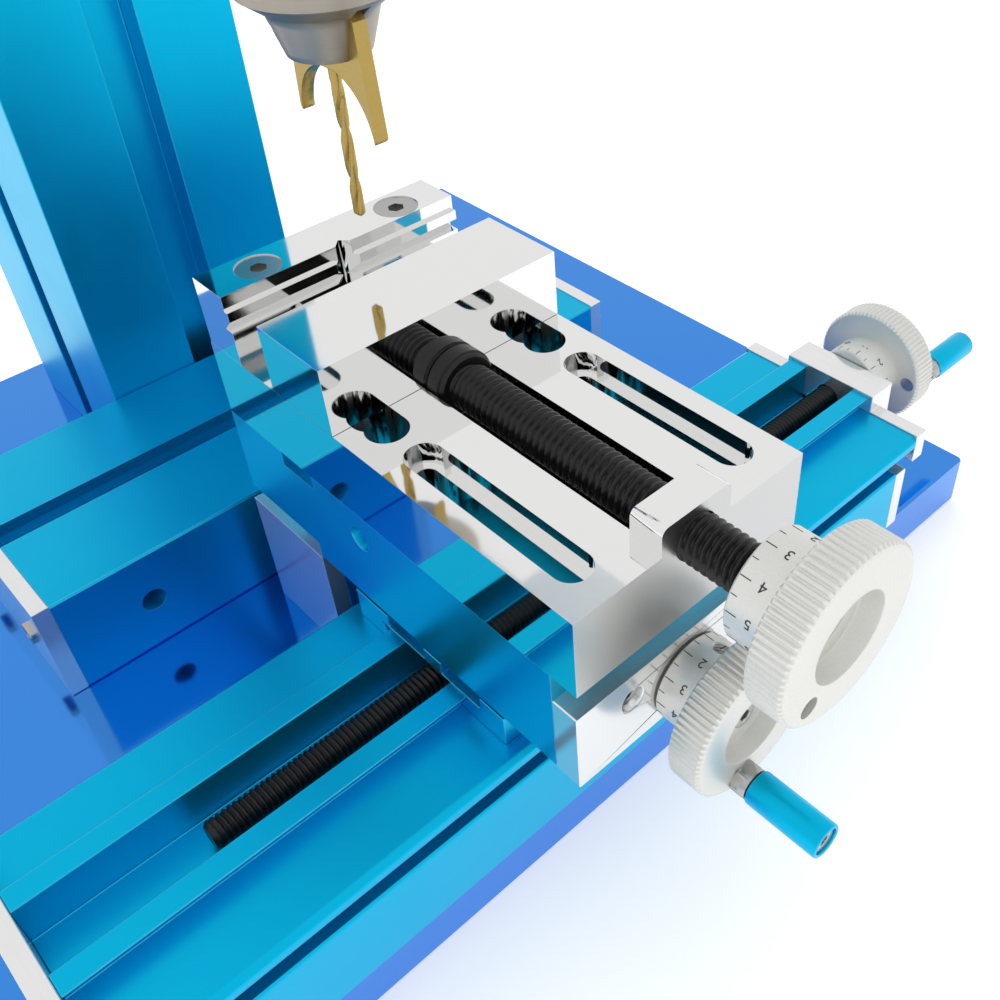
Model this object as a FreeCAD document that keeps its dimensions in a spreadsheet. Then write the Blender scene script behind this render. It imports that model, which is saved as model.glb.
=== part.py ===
"""Benchtop milling machine with a compound slide, a machine vice and a vertical column.

Frame: millimetres, +X to the machine's right, +Y to its back, +Z up.
Origin: on the underside of the base plate, straight below the spindle axis.
"""
import FreeCAD, Part
import Sketcher
import math
import os
import re

# Driving dimensions: alias, value in millimetres, meaning.
SIZES = [
    ("base_width", 350, "base plate, left to right"),
    ("base_near", 85, "spindle axis to the base's front edge"),
    ("base_far", 215, "spindle axis to the base's rear edge"),
    ("base_thick", 20, "base plate thickness"),
    ("base_edge", 1, "base plate edge chamfer"),
    ("foot_x", 155, "tapped foot holes, half spacing across"),
    ("foot_near", 65, "tapped foot holes, distance in front of the axis"),
    ("foot_far", 195, "tapped foot holes, distance behind the axis"),
    ("foot_bore", 3.4, "tapped foot hole radius"),
    ("foot_deep", 14, "tapped foot hole depth"),
    ("rail_wide", 70, "width of the dovetail rail extrusion"),
    ("rail_neck", 25, "half width of the rail's neck"),
    ("rail_under", 5, "height of the rail's neck"),
    ("rail_ledge", 10, "rail foot to the sliding ledge"),
    ("rail_high", 15.5, "rail foot to the top of the dovetail"),
    ("dove_top", 15.75, "half width of the dovetail at its top"),
    ("dove_root", 12.55, "half width of the dovetail at its root"),
    ("way_half", 9.15, "half width of the leadscrew channel"),
    ("way_floor", 3, "rail foot to the channel floor"),
    ("screw_level", 8, "rail foot to the leadscrew axis"),
    ("slide_gap", 0.1, "running clearance of the slides"),
    ("gib_thick", 3, "thickness of a gib strip"),
    ("plate_thick", 5, "polished end plate thickness"),
    ("rail_y", -53, "centre line of the X rail"),
    ("rail_left", -138.5, "left end of the X rail"),
    ("rail_long", 270, "length of the X rail"),
    ("bed_left", -133, "left end of the front bed"),
    ("bed_long", 256, "length of the front bed"),
    ("bed_high", 26.5, "height of the front bed"),
    ("bed_slot", 4.75, "half width of the bed's T-slot mouth"),
    ("bed_lip", 4, "depth of the T-slot mouth"),
    ("bed_tee", 8, "half width of the T-slot's inside"),
    ("bed_deep", 9, "full depth of the T-slot"),
    ("rear_y", 80, "centre line of the rear bed"),
    ("rear_wide", 76, "width of the rear bed"),
    ("rear_high", 35, "height of the rear bed"),
    ("rear_left", -94.5, "left end of the rear bed"),
    ("rear_long", 208.5, "length of the rear bed"),
    ("port_bore", 3.75, "round hole in the rear bed's front face"),
    ("port_x", -68, "left-right place of that hole"),
    ("port_deep", 12, "depth of that hole"),
    ("mid_y", 15, "centre line of the centre bed"),
    ("mid_wide", 36, "width of the centre bed"),
    ("mid_high", 42, "height of the centre bed"),
    ("mid_half", 28, "half length of the centre bed"),
    ("post_half", 37.5, "half width of the column"),
    ("post_front", 118, "front face of the column"),
    ("post_deep", 78, "depth of the column"),
    ("post_top", 395, "top of the column"),
    ("post_groove", 7.25, "half width of the column's front groove"),
    ("groove_deep", 10, "depth of the column's front groove"),
    ("cap_thick", 6, "thickness of the column cap and rail plates"),
    ("lift_low", 215, "lower end of the Z rail"),
    ("lift_long", 180, "length of the Z rail"),
    ("carriage_wide", 70, "saddle and table width"),
    ("saddle_deep", 60, "saddle depth on the X rail"),
    ("saddle_low", 56.6, "underside of the saddle"),
    ("saddle_step", 66.5, "top of the saddle's wide part"),
    ("tower_half", 29, "half width of the saddle's upper part"),
    ("tower_long", 75, "length of the saddle's upper dovetail"),
    ("cross_foot", 68.5, "level of the Y dovetail's foot"),
    ("table_front", -101.8, "front end of the cross-slide table"),
    ("table_long", 127, "length of the cross-slide table"),
    ("table_low", 68, "lower edge of the table's skirts"),
    ("table_top", 100, "top of the cross-slide table"),
    ("skirt", 5.5, "thickness of the table's skirts"),
    ("cross_plate", 7.5, "thickness of the table's front plate"),
    ("cross_plate_low", 67, "lower edge of the front plate"),
    ("cross_plate_top", 91.5, "upper edge of the front plate"),
    ("screw_bore", 4, "leadscrew radius"),
    ("run_gap", 0.05, "radial running clearance of shafts"),
    ("dial_bore", 11.5, "dial sleeve radius"),
    ("wheel_rim", 19.75, "handwheel radius"),
    ("wheel_thick", 9.5, "handwheel thickness"),
    ("hub_recess", 10.5, "handwheel recess radius"),
    ("hub_deep", 5.5, "handwheel recess depth"),
    ("handle_arm", 15.5, "handwheel axis to handle axis"),
    ("stud_bore", 2.5, "handle stud radius"),
    ("nut_round", 4.6, "hex nut corner radius"),
    ("nut_high", 4, "hex nut height"),
    ("grip_round", 4.45, "handle grip radius"),
    ("grip_long", 20, "handle grip length"),
    ("vice_half", 35, "half width of the vice"),
    ("vice_front", -110, "front end of the vice"),
    ("vice_long", 135, "length of the vice base"),
    ("vice_high", 22.5, "height of the vice base"),
    ("vice_way", 9, "half width of the vice's screw channel"),
    ("vice_floor", 4, "floor thickness below that channel"),
    ("vice_axis", 121.5, "level of the vice screw"),
    ("vice_screw", 6, "vice screw radius"),
    ("vice_wheel", 20.75, "vice handwheel radius"),
    ("vice_dial", 13, "vice dial sleeve radius"),
    ("jaw_front", -30, "front face of the moving jaw"),
    ("jaw_deep", 25.2, "depth of the moving jaw"),
    ("jaw_high", 18.4, "height of the moving jaw"),
    ("anvil_front", 9.8, "front face of the fixed jaw"),
    ("anvil_deep", 14.6, "depth of the fixed jaw"),
    ("anvil_high", 19.2, "height of the fixed jaw"),
    ("bolt_x", 21, "fixed jaw screws, half spacing"),
    ("bolt_y", 17, "fixed jaw screws, place behind the axis"),
    ("bolt_bore", 3, "fixed jaw screw radius"),
    ("bolt_head", 6, "fixed jaw screw head radius"),
    ("slot_x", 24.5, "clamp slots, distance from the centre line"),
    ("slot_wide", 4.75, "clamp slot counterbore, half width"),
    ("slot_thin", 2.75, "clamp slot, half width"),
    ("bridge_half", 10.5, "half width of the nut bridge"),
    ("bridge_deep", 9, "depth of the nut bridge"),
    ("bridge_top", 130, "top of the nut bridge"),
    ("chuck_low", 194, "lower face of the chuck nose"),
    ("nose_low", 9.5, "nose radius at its lower face"),
    ("nose_top", 12.6, "nose radius at the chuck body"),
    ("nose_high", 9.5, "height of the nose"),
    ("flare_high", 4, "height of the flare above the nose"),
    ("chuck_bore", 18, "chuck body radius"),
    ("chuck_high", 33, "height of the whole chuck"),
    ("blade_half", 1.75, "half thickness of the profile cutter"),
    ("tip_level", 176.5, "level of the cutter's wing tips"),
    ("drill_bore", 1.4, "centre drill radius"),
    ("drill_low", 153.5, "level of the drill point"),
    ("head_low", 228.5, "underside of the headstock"),
    ("head_high", 56, "height of the headstock"),
    ("head_half", 26, "half width of the headstock"),
    ("head_near", 28, "spindle axis to the headstock's front"),
    ("head_far", 30, "spindle axis to the headstock's back"),
    ("carrier_front", 80, "front face of the Z carriage"),
    ("carrier_low", 246, "lower end of the Z carriage"),
    ("carrier_long", 75, "height of the Z carriage"),
    ("spindle_bore", 8, "spindle radius"),
    ("spin_pulley", 20, "spindle pulley radius"),
    ("motor_pulley", 10, "motor pulley radius"),
    ("pulley_high", 10, "height of both pulleys"),
    ("motor_x", 62, "motor axis, right of the spindle"),
    ("motor_round", 21, "motor radius"),
    ("motor_long", 72, "length of the motor"),
    ("shaft_bore", 2.5, "motor shaft radius"),
    ("belt_thick", 1.6, "drive belt thickness"),
    ("belt_wide", 7, "drive belt width"),
    ("belt_gap", 0.3, "gap between the belt and a pulley"),
    ("button_high", 1.6, "height of a button head screw"),
    ("button_big", 3.5, "radius of the rear bed's button heads"),
    ("button_small", 3, "radius of the X rail's button heads"),
    ("button_rear", 24, "half spacing of the rear bed's button heads"),
    ("button_rail", 25, "half spacing of the X rail's button heads"),
    ("button_level", 5.5, "rail foot to its button heads"),
    ("boss_half", 17, "half width of the X screw's boss"),
    ("boss_long", 11, "thickness of the plate at that boss"),
    ("x_nut_half", 16, "half length of the X nut"),
    ("y_nut_half", 10, "half length of the Y nut"),
    ("nut_slack", 0.3, "gap between a nut and its channel"),
    ("pocket_deep", 4, "depth of the saddle's side pockets"),
    ("pocket_long", 15, "length of a side pocket"),
    ("port_side", 3.6, "radius of the hole in the table's side"),
    ("port_y", -31.7, "front-back place of that hole"),
    ("sink_x", 18, "front plate screws, half spacing"),
    ("sink_level", 16, "front plate's lower edge to its screws"),
    ("sink_bore", 3.3, "counterbore radius in the front plate"),
    ("sink_deep", 5, "counterbore depth in the front plate"),
    ("x_inward", 241, "length of the X screw inside its plate"),
    ("y_inward", 127, "length of the Y screw inside its plate"),
    ("z_inward", 178, "length of the Z screw inside its plate"),
    ("vice_inward", 91.6, "length of the vice screw inside its dial"),
    ("dial_gap", 0.4, "gap between a dial and its plate"),
    ("x_dial_long", 12, "length of the X dial"),
    ("dial_long", 11, "length of the Y and Z dials"),
    ("vice_dial_long", 11.2, "length of the vice dial"),
    ("grip_gap", 0.2, "gap between a grip and its nut"),
    ("cap_bore", 3.3, "radius of the screw head in a grip's end"),
    ("cap_high", 1.2, "height of that head"),
    ("end_bore", 3.45, "radius of the recess in a grip's end"),
    ("end_deep", 2, "depth of that recess"),
    ("long_near", -98.5, "clamp slots, front end"),
    ("long_far", -50.5, "clamp slots, rear end"),
    ("short_near", -36.5, "short slots, front end"),
    ("short_far", -30.5, "short slots, rear end"),
    ("slot_sink", 6, "depth of the clamp slots' counterbore"),
    ("bolt_deep", 15, "depth of the jaw screws in the vice base"),
    ("bolt_cone", 3, "height of a jaw screw's head"),
    ("bolt_sink", 3.3, "jaw's top to the underside of that head"),
    ("vee_level", 3, "half height and depth of the jaw's long vee"),
    ("vee_upright", 3.5, "half width and depth of the jaw's upright vee"),
    ("jaw_step", 4, "height of the step along the fixed jaw's top"),
    ("jaw_step_deep", 1.2, "depth of that step"),
    ("journal_long", 18.3, "length of the vice screw's plain end"),
    ("collar_long", 5.8, "length of the vice screw's collar"),
    ("wheel_front", -127.6, "front-back place of the vice dial's rear end"),
    ("slit_high", 12, "height of the cutter's slot in the chuck"),
    ("shelf_thick", 6, "thickness of the motor shelf"),
    ("shelf_half", 22, "half depth of the motor shelf"),
    ("stand_thick", 6, "thickness of the motor stand's wall and plate"),
    ("stand_low", 17.5, "headstock's top to the underside of the motor plate"),
    ("wing_tip", 15, "half width of the cutter across its wing tips"),
    ("wing_inner", 14.2, "cutter's centre line to the inner corner of a tip"),
    ("wing_shoulder", 13.4, "half width of the cutter at its shoulders"),
    ("wing_crown", 11, "half width of the cutter's top"),
    ("web_half", 3, "half width of the web between the wings"),
    ("web_deep", 4, "chuck's lower face to the web's lower edge"),
    ("bead_x", 10.6, "centre line to the middle of a wing's hollow"),
    ("bead_low", 8.6, "chuck's lower face to the middle of that hollow"),
    ("pulley_stub", 3, "radius of the spindle's end in its pulley"),
    ("z_nut_low", 20, "carriage's lower end to the nut"),
    ("z_nut_high", 30, "height of the Z nut"),
]
VALUES = {alias: value for alias, value, meaning in SIZES}
WAY_X = FreeCAD.Rotation(FreeCAD.Vector(1, 1, 1), 120)
WAY_Y = FreeCAD.Rotation(FreeCAD.Vector(1, 0, 0), 90)
WAY_Z = FreeCAD.Rotation()

doc = FreeCAD.newDocument("milling_machine")
sheet = doc.addObject("Spreadsheet::Sheet", "dims")
for row, (alias, value, meaning) in enumerate(SIZES, 1):
    sheet.set(f"A{row}", meaning)
    sheet.set(f"B{row}", str(value))
    sheet.setAlias(f"B{row}", alias)
doc.recompute()
NODES = []


def bound(text):
    """Turn the aliases in an expression into references to the sheet."""
    return re.sub(
        r"[a-z]+[a-z0-9_]*",
        lambda word: "dims." + word.group(0) if word.group(0) in VALUES else word.group(0), str(text))


def size(alias):
    """One driving dimension, read back from the sheet."""
    return float(sheet.get(alias))


def place(thing, at, turn=WAY_Z):
    """Set an object's placement, with its position bound to the sheet."""
    thing.Placement = FreeCAD.Placement(FreeCAD.Vector(), turn)
    for axis, text in zip("xyz", at):
        thing.setExpression(f".Placement.Base.{axis}", bound(text))
    return thing


def block(near, far):
    """A box between two corners given as expressions."""
    thing = doc.addObject("Part::Box", "block")
    for side, low, high in zip(("Length", "Width", "Height"), near, far):
        thing.setExpression(side, bound(f"({high}) - ({low})"))
    return place(thing, near)


def rod(radius, length, at, turn=WAY_Z):
    """A cylinder along the turned Z axis."""
    thing = doc.addObject("Part::Cylinder", "rod")
    thing.setExpression("Radius", bound(radius))
    thing.setExpression("Height", bound(length))
    return place(thing, at, turn)


def cone(low, high, length, at, turn=WAY_Z):
    """A cone or a cut cone along the turned Z axis."""
    thing = doc.addObject("Part::Cone", "cone")
    thing.setExpression("Radius1", bound(low))
    thing.setExpression("Radius2", bound(high))
    thing.setExpression("Height", bound(length))
    return place(thing, at, turn)


def hexagon(radius, length, at, turn=WAY_Z):
    """A hexagonal prism along the turned Z axis."""
    thing = doc.addObject("Part::Prism", "hexagon")
    thing.Polygon = 6
    thing.setExpression("Circumradius", bound(radius))
    thing.setExpression("Height", bound(length))
    return place(thing, at, turn)


def joined(*things):
    """The union of several objects."""
    if len(things) == 1:
        return things[0]
    whole = doc.addObject("Part::MultiFuse", "joined")
    whole.Shapes = list(things)
    return whole


def less(base, *tools):
    """An object with others taken away."""
    rest = doc.addObject("Part::Cut", "less")
    rest.Base = base
    rest.Tool = joined(*tools)
    return rest


def group(*things):
    """Several separate solids in one node."""
    pack = doc.addObject("Part::Compound", "group")
    pack.Links = list(things)
    return pack


def node(label, thing):
    """Name a finished sub-part and list it for export."""
    thing.Label = label
    NODES.append(thing)
    return thing


def extrusion(outline, length, at, turn):
    """Pad a closed outline; each corner is a pair of expressions in the profile's own plane."""
    body = doc.addObject("PartDesign::Body", "profile")
    sketch = body.newObject("Sketcher::SketchObject", "outline")
    plane = [item for item in body.Origin.OriginFeatures if item.Role == "XY_Plane"][0]
    sketch.AttachmentSupport = [(plane, "")]
    sketch.MapMode = "FlatFace"
    rough = [FreeCAD.Vector(number(u), number(v), 0) for u, v in outline]
    count = len(outline)
    for index in range(count):
        sketch.addGeometry(Part.LineSegment(rough[index], rough[(index + 1) % count]), False)
    for index in range(count):
        sketch.addConstraint(Sketcher.Constraint("Coincident", index, 2, (index + 1) % count, 1))
    for index, (u, v) in enumerate(outline):
        for kind, text, value in (("DistanceX", u, rough[index].x), ("DistanceY", v, rough[index].y)):
            mark = sketch.addConstraint(Sketcher.Constraint(kind, -1, 1, index, 1, value))
            sketch.setExpression(f"Constraints[{mark}]", bound(text))
    pad = body.newObject("PartDesign::Pad", "pad")
    pad.Profile = sketch
    pad.setExpression("Length", bound(length))
    return place(body, at, turn)


def number(text):
    """The present value of an expression, worked out by a scratch cell of the sheet."""
    sheet.set("D1", "=" + re.sub(r"dims\.", "", bound(text)))
    sheet.recompute()
    return float(sheet.get("D1"))


def mirrored(half):
    """Close a profile about its centre line from the corners of its right half, top to bottom."""
    left = [(f"-({u})", v) for u, v in reversed(half)]
    return list(half) + left


def rail_profile():
    """Dovetail rail: neck, ledges, dovetail and leadscrew channel; its foot is at v = 0."""
    return mirrored([
        ("way_half", "way_floor"), ("way_half", "rail_high"), ("dove_top", "rail_high"),
        ("dove_root", "rail_ledge"), ("rail_wide / 2 - 1.5", "rail_ledge"),
        ("rail_wide / 2", "rail_ledge - 1.5"), ("rail_wide / 2", "rail_under + 1"),
        ("rail_wide / 2 - 1", "rail_under"), ("rail_neck", "rail_under"), ("rail_neck", "0"),
    ])


def bed_profile(wide, high):
    """Bed extrusion with a T-slot along the middle of its top."""
    return mirrored([
        ("bed_tee", f"{high} - bed_deep"), ("bed_tee", f"{high} - bed_lip"),
        ("bed_slot", f"{high} - bed_lip"), ("bed_slot", high), (f"{wide} / 2 - 0.6", high),
        (f"{wide} / 2", f"{high} - 0.6"), (f"{wide} / 2", "0.6"), (f"{wide} / 2 - 0.6", "0"),
    ])


def plates(wide, low, high, left, right):
    """A pair of end plates on a bed: left plate outside left, right plate outside right."""
    near = f"{wide[0]} - {wide[1]} / 2"
    far = f"{wide[0]} + {wide[1]} / 2"
    return group(
        block((f"{left} - plate_thick", near, low), (left, far, high)),
        block((right, near, low), (f"{right} + plate_thick", far, high)))


# ---------------------------------------------------------------- base and beds
def base_plate():
    slab = doc.addObject("Part::Box", "slab")
    slab.setExpression("Length", bound("base_width"))
    slab.setExpression("Width", bound("base_near + base_far"))
    slab.setExpression("Height", bound("base_thick"))
    place(slab, ("-base_width / 2", "-base_near", "0"))
    doc.recompute()
    soft = doc.addObject("Part::Chamfer", "soft")
    soft.Base = slab
    soft.Edges = [(index, size("base_edge"), size("base_edge")) for index in range(1, 13)]
    taps = [rod("foot_bore", "foot_deep", (f"{side} * foot_x", y, "0"))
            for side in (-1, 1) for y in ("-foot_near", "foot_far")]
    node("base_plate", less(soft, *taps))


def beds():
    node("front_bed", extrusion(
        bed_profile("rail_wide", "bed_high"), "bed_long", ("bed_left", "rail_y", "base_thick"), WAY_X))
    node("front_bed_end_plates", plates(
        ("rail_y", "rail_wide"), "base_thick + 2.5", "base_thick + bed_high - 0.5",
        "bed_left", "bed_left + bed_long"))
    rear = extrusion(
        bed_profile("rear_wide", "rear_high"), "rear_long", ("rear_left", "rear_y", "base_thick"), WAY_X)
    port = rod("port_bore", "port_deep",
               ("port_x", "rear_y - rear_wide / 2 + port_deep", "base_thick + rear_high / 2"), WAY_Y)
    node("rear_bed", less(rear, port))
    node("rear_bed_end_plates", plates(
        ("rear_y", "rear_wide"), "base_thick", "base_thick + rear_high + 0.4",
        "rear_left", "rear_left + rear_long"))
    node("centre_bed", extrusion(
        bed_profile("mid_wide", "mid_high"), "2 * mid_half", ("-mid_half", "mid_y", "base_thick"), WAY_X))
    node("centre_bed_end_plates", plates(
        ("mid_y", "mid_wide"), "base_thick", "base_thick + mid_high", "-mid_half", "mid_half"))


def x_rail():
    foot = "base_thick + bed_high"
    right = "rail_left + rail_long"
    node("x_rail", extrusion(rail_profile(), "rail_long", ("rail_left", "rail_y", foot), WAY_X))
    near = "rail_y - rail_wide / 2"
    far = "rail_y + rail_wide / 2"
    node("x_rail_left_plate", block(
        ("rail_left - plate_thick", near, foot), ("rail_left", far, f"{foot} + rail_high")))
    low_plate = block((right, near, foot), (f"{right} + plate_thick", far, f"{foot} + rail_ledge + 0.5"))
    boss = block(
        (right, "rail_y - boss_half", foot),
        (f"{right} + boss_long", "rail_y + boss_half", f"{foot} + rail_high + 1"))
    hole = rod("screw_bore + run_gap", "boss_long + 1", (right, "rail_y", f"{foot} + screw_level"), WAY_X)
    node("x_rail_right_plate", less(joined(low_plate, boss), hole))


def column():
    outline = [
        ("post_half", "0"), ("post_half", "-(post_deep / 2 - bed_slot)"),
        ("post_half - bed_lip", "-(post_deep / 2 - bed_slot)"),
        ("post_half - bed_lip", "-(post_deep / 2 - bed_tee)"),
        ("post_half - bed_deep", "-(post_deep / 2 - bed_tee)"),
        ("post_half - bed_deep", "-(post_deep / 2 + bed_tee)"),
        ("post_half - bed_lip", "-(post_deep / 2 + bed_tee)"),
        ("post_half - bed_lip", "-(post_deep / 2 + bed_slot)"),
        ("post_half", "-(post_deep / 2 + bed_slot)"), ("post_half", "-post_deep"),
    ]
    groove = [("post_groove", "-groove_deep"), ("post_groove", "0")]
    right = groove + outline
    left = [(f"-({u})", v) for u, v in reversed(right)]
    profile = [(u, f"-({v})") for u, v in right + left]
    node("column", extrusion(
        profile, "post_top - base_thick", ("0", "post_front", "base_thick"), WAY_Z))
    node("column_cap", block(
        ("-post_half", "post_front", "post_top"),
        ("post_half", "post_front + post_deep", "post_top + cap_thick")))


def z_rail():
    profile = [(u, f"-({v})") for u, v in rail_profile()]
    node("z_rail", extrusion(profile, "lift_long", ("0", "post_front", "lift_low"), WAY_Z))
    front = "post_front - rail_high - 1"
    bottom = block(
        ("-rail_wide / 2", front, "lift_low - cap_thick"), ("rail_wide / 2", "post_front", "lift_low"))
    top = block(
        ("-rail_wide / 2", front, "lift_low + lift_long"),
        ("rail_wide / 2", "post_front", "lift_low + lift_long + cap_thick"))
    hole = rod(
        "screw_bore + run_gap", "cap_thick", ("0", "post_front - screw_level", "lift_low + lift_long"))
    node("z_rail_plates", group(bottom, less(top, hole)))


def plate_screws():
    """Low button-head screws on the end plates of the beds, one kind, in one node."""
    heads = []
    for y in ("rear_y - button_rear", "rear_y + button_rear"):
        for x in ("rear_left - plate_thick - button_high", "rear_left + rear_long + plate_thick"):
            heads.append(rod("button_big", "button_high", (x, y, "base_thick + rear_high / 2"), WAY_X))
    level = "base_thick + bed_high + button_level"
    for y in ("rail_y - button_rail", "rail_y + button_rail"):
        for x in ("rail_left + rail_long + plate_thick", "rail_left - plate_thick - button_high"):
            heads.append(rod("button_small", "button_high", (x, y, level), WAY_X))
    node("end_plate_screws", group(*heads))


# ---------------------------------------------------------------- saddle and table
def dove_cavity(shift):
    """Half profile of a dovetail groove that clears the rail by the slide gap, plus a gib."""
    return f"dove_root + slide_gap + {shift}", f"dove_top + 2 * slide_gap + {shift}"


def saddle():
    near = "rail_y - saddle_deep / 2"
    far = "rail_y + saddle_deep / 2"
    ceiling = "base_thick + bed_high + rail_high + slide_gap"
    wide = block(("-carriage_wide / 2", near, "saddle_low"), ("carriage_wide / 2", far, "saddle_step"))
    tower = block(
        ("-tower_half", "rail_y - tower_long / 2", "saddle_step"),
        ("tower_half", "rail_y + tower_long / 2", "cross_foot + rail_ledge"))
    crest = extrusion([
        ("dove_root", "0"), ("dove_top", "rail_high - rail_ledge"),
        ("-dove_top", "rail_high - rail_ledge"), ("-dove_root", "0")],
        "tower_long", ("0", "rail_y + tower_long / 2", "cross_foot + rail_ledge"), WAY_Y)
    mouth, top = dove_cavity("0")
    gib_mouth, gib_top = dove_cavity("gib_thick")
    groove = extrusion([
        (f"-({mouth})", "-1"), (f"-({mouth})", "0"), (f"-({top})", f"{ceiling} - saddle_low"),
        (gib_top, f"{ceiling} - saddle_low"), (gib_mouth, "0"), (gib_mouth, "-1")],
        "carriage_wide + 2", ("-carriage_wide / 2 - 1", "rail_y", "saddle_low"), WAY_X)
    way = block(
        ("-way_half", "rail_y - tower_long / 2 - 1", "cross_foot + way_floor"),
        ("way_half", "rail_y + tower_long / 2 + 1", "cross_foot + rail_high + 1"))
    pockets = [block(
        ("-carriage_wide / 2", f"rail_y + {y}", "saddle_step - pocket_deep"),
        ("-carriage_wide / 2 + pocket_deep", f"rail_y + {y} + pocket_long", "saddle_step")) for y in (-21, 1)]
    node("saddle", less(joined(wide, tower, crest), groove, way, *pockets))
    foot = "base_thick + bed_high"
    node("x_nut", less(
        block(("-x_nut_half", "rail_y - way_half + nut_slack", f"{foot} + way_floor + nut_slack"),
              ("x_nut_half", "rail_y + way_half - nut_slack", ceiling)),
        rod("screw_bore + run_gap", "2 * x_nut_half + 2",
            ("-x_nut_half - 1", "rail_y", f"{foot} + screw_level"), WAY_X)))
    node("y_nut", less(
        block(("-way_half", "rail_y - y_nut_half", "cross_foot + way_floor"),
              ("way_half", "rail_y + y_nut_half", "cross_foot + rail_high - 2")),
        rod("screw_bore + run_gap", "2 * y_nut_half + 2",
            ("0", "rail_y + y_nut_half + 1", "cross_foot + screw_level"), WAY_Y)))
    roof = f"{ceiling} - saddle_low"
    node("x_gib", extrusion([
        (mouth, "0"), (top, roof), (gib_top, roof), (gib_mouth, "0")],
        "carriage_wide - 4", ("-carriage_wide / 2 + 2", "rail_y", "saddle_low"), WAY_X))


def table():
    """Cross-slide table: a block with skirts over the saddle and a dovetail groove below."""
    roof = "table_top - table_low"
    ledge = "cross_foot + rail_ledge + slide_gap - table_low"
    ceiling = "cross_foot + rail_high + slide_gap - table_low"
    inside = "carriage_wide / 2 - skirt"
    mouth, top = dove_cavity("0")
    gib_mouth, gib_top = dove_cavity("gib_thick")
    outline = [
        ("carriage_wide / 2", "0"), ("carriage_wide / 2", roof), ("-carriage_wide / 2", roof),
        ("-carriage_wide / 2", "0"), (f"-({inside})", "0"), (f"-({inside})", ledge),
        (f"-({mouth})", ledge), (f"-({top})", ceiling), (gib_top, ceiling), (gib_mouth, ledge),
        (inside, ledge), (inside, "0"),
    ]
    rear = "table_front + table_long"
    left = "-carriage_wide / 2"
    whole = extrusion(outline, "table_long", ("0", rear, "table_low"), WAY_Y)
    rear_notch = block(
        (f"{left} - 1", "-8", "table_low - 1"), ("carriage_wide / 2 + 1", f"{rear} + 1", "table_low + 5"))
    top_notch = block((f"{left} - 1", "-13", "table_top - 4.5"), (f"{left} + 3", "0.5", "table_top + 1"))
    port = rod("port_side", "5", (left, "port_y", "table_top - 9"), WAY_X)
    node("table", less(whole, rear_notch, top_notch, port))
    node("y_gib", extrusion([
        (mouth, ledge), (top, ceiling), (gib_top, ceiling), (gib_mouth, ledge)],
        "table_long - 4", ("0", f"{rear} - 2", "table_low"), WAY_Y))
    front = "table_front - cross_plate"
    plate = block((left, front, "cross_plate_low"), ("carriage_wide / 2", "table_front", "cross_plate_top"))
    axis = "cross_foot + screw_level"
    hole = rod("screw_bore + run_gap", "cross_plate + 1", ("0", "table_front", axis), WAY_Y)
    level = "cross_plate_low + sink_level"
    sinks = []
    screws = []
    for side in (-1, 1):
        x = f"{side} * sink_x"
        sinks.append(joined(
            rod("sink_bore", "sink_deep", (x, f"{front} + sink_deep", level), WAY_Y),
            rod("2", "cross_plate", (x, "table_front", level), WAY_Y)))
        screws.append(less(
            joined(rod("3.1", "3", (x, f"{front} + sink_deep", level), WAY_Y),
                   rod("1.95", "2.5", (x, "table_front", level), WAY_Y)),
            hexagon("1.7", "2", (x, f"{front} + 4", level), WAY_Y)))
    node("y_end_plate", less(plate, hole, *sinks))
    node("y_plate_screws", group(*screws))


# ---------------------------------------------------------------- leadscrews and handwheels
def outward(way, origin, at):
    """Turn a place given on a hand unit's own axes into a place on the machine."""
    x, y, z = origin
    u, v, w = at
    if way is WAY_X:
        return f"{x} + {w}", f"{y} + {u}", f"{z} + {v}"
    if way is WAY_Y:
        return f"{x} + {u}", f"{y} - ({w})", f"{z} + {v}"
    return f"{x} + {u}", f"{y} + {v}", f"{z} + {w}"


def hand_unit(prefix, way, origin, inward, dial_long, angle,
              dial="dial_bore", rim="wheel_rim", stem="screw_bore"):
    """Dial and handwheel of one screw; returns the screw, its end screw and the helper for rods.

    The unit is drawn along its own +Z, which points out of the plate that carries it. origin is the
    outer face of that plate; inward is the screw's length inside; angle is where the handle sits.
    """
    def along(radius, length, u, v, w):
        return rod(radius, length, outward(way, origin, (u, v, w)), way)

    back = f"dial_gap + {dial_long}"
    floor = f"{back} + wheel_thick - hub_deep"
    arm = [f"handle_arm * {turn(math.radians(angle)):.6f}" for turn in (math.cos, math.sin)]
    node(f"{prefix}_dial", less(
        along(dial, dial_long, "0", "0", "dial_gap"), along(stem, dial_long, "0", "0", "dial_gap")))
    node(f"{prefix}_handwheel", less(
        along(rim, "wheel_thick", "0", "0", back), along("hub_recess", "hub_deep", "0", "0", floor),
        along(stem, "wheel_thick", "0", "0", back), along("stud_bore", "wheel_thick", *arm, back)))
    screw = along(stem, f"{inward} + {floor}", "0", "0", f"-({inward})")
    end_screw = along("stud_bore + 1", "2", "0", "0", floor)
    return (screw, end_screw), along, arm, back


def handle(prefix, way, origin, along, arm, back):
    """Stud with its hex nut, and the loose grip that turns on it."""
    face = f"{back} + wheel_thick"
    grip_low = f"{face} + nut_high + grip_gap"
    nut = hexagon("nut_round", "nut_high", outward(way, origin, (*arm, face)), way)
    stud = along("stud_bore", "wheel_thick + nut_high + grip_long - 1.4", *arm, back)
    cap = along("cap_bore", "cap_high", *arm, f"{grip_low} + grip_long - 1.8")
    node(f"{prefix}_handle_stud", joined(stud, nut, cap))
    node(f"{prefix}_handle", less(
        along("grip_round", "grip_long", *arm, grip_low),
        along("stud_bore + run_gap", "grip_long", *arm, grip_low),
        along("end_bore", "end_deep", *arm, f"{grip_low} + grip_long - end_deep")))


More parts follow.
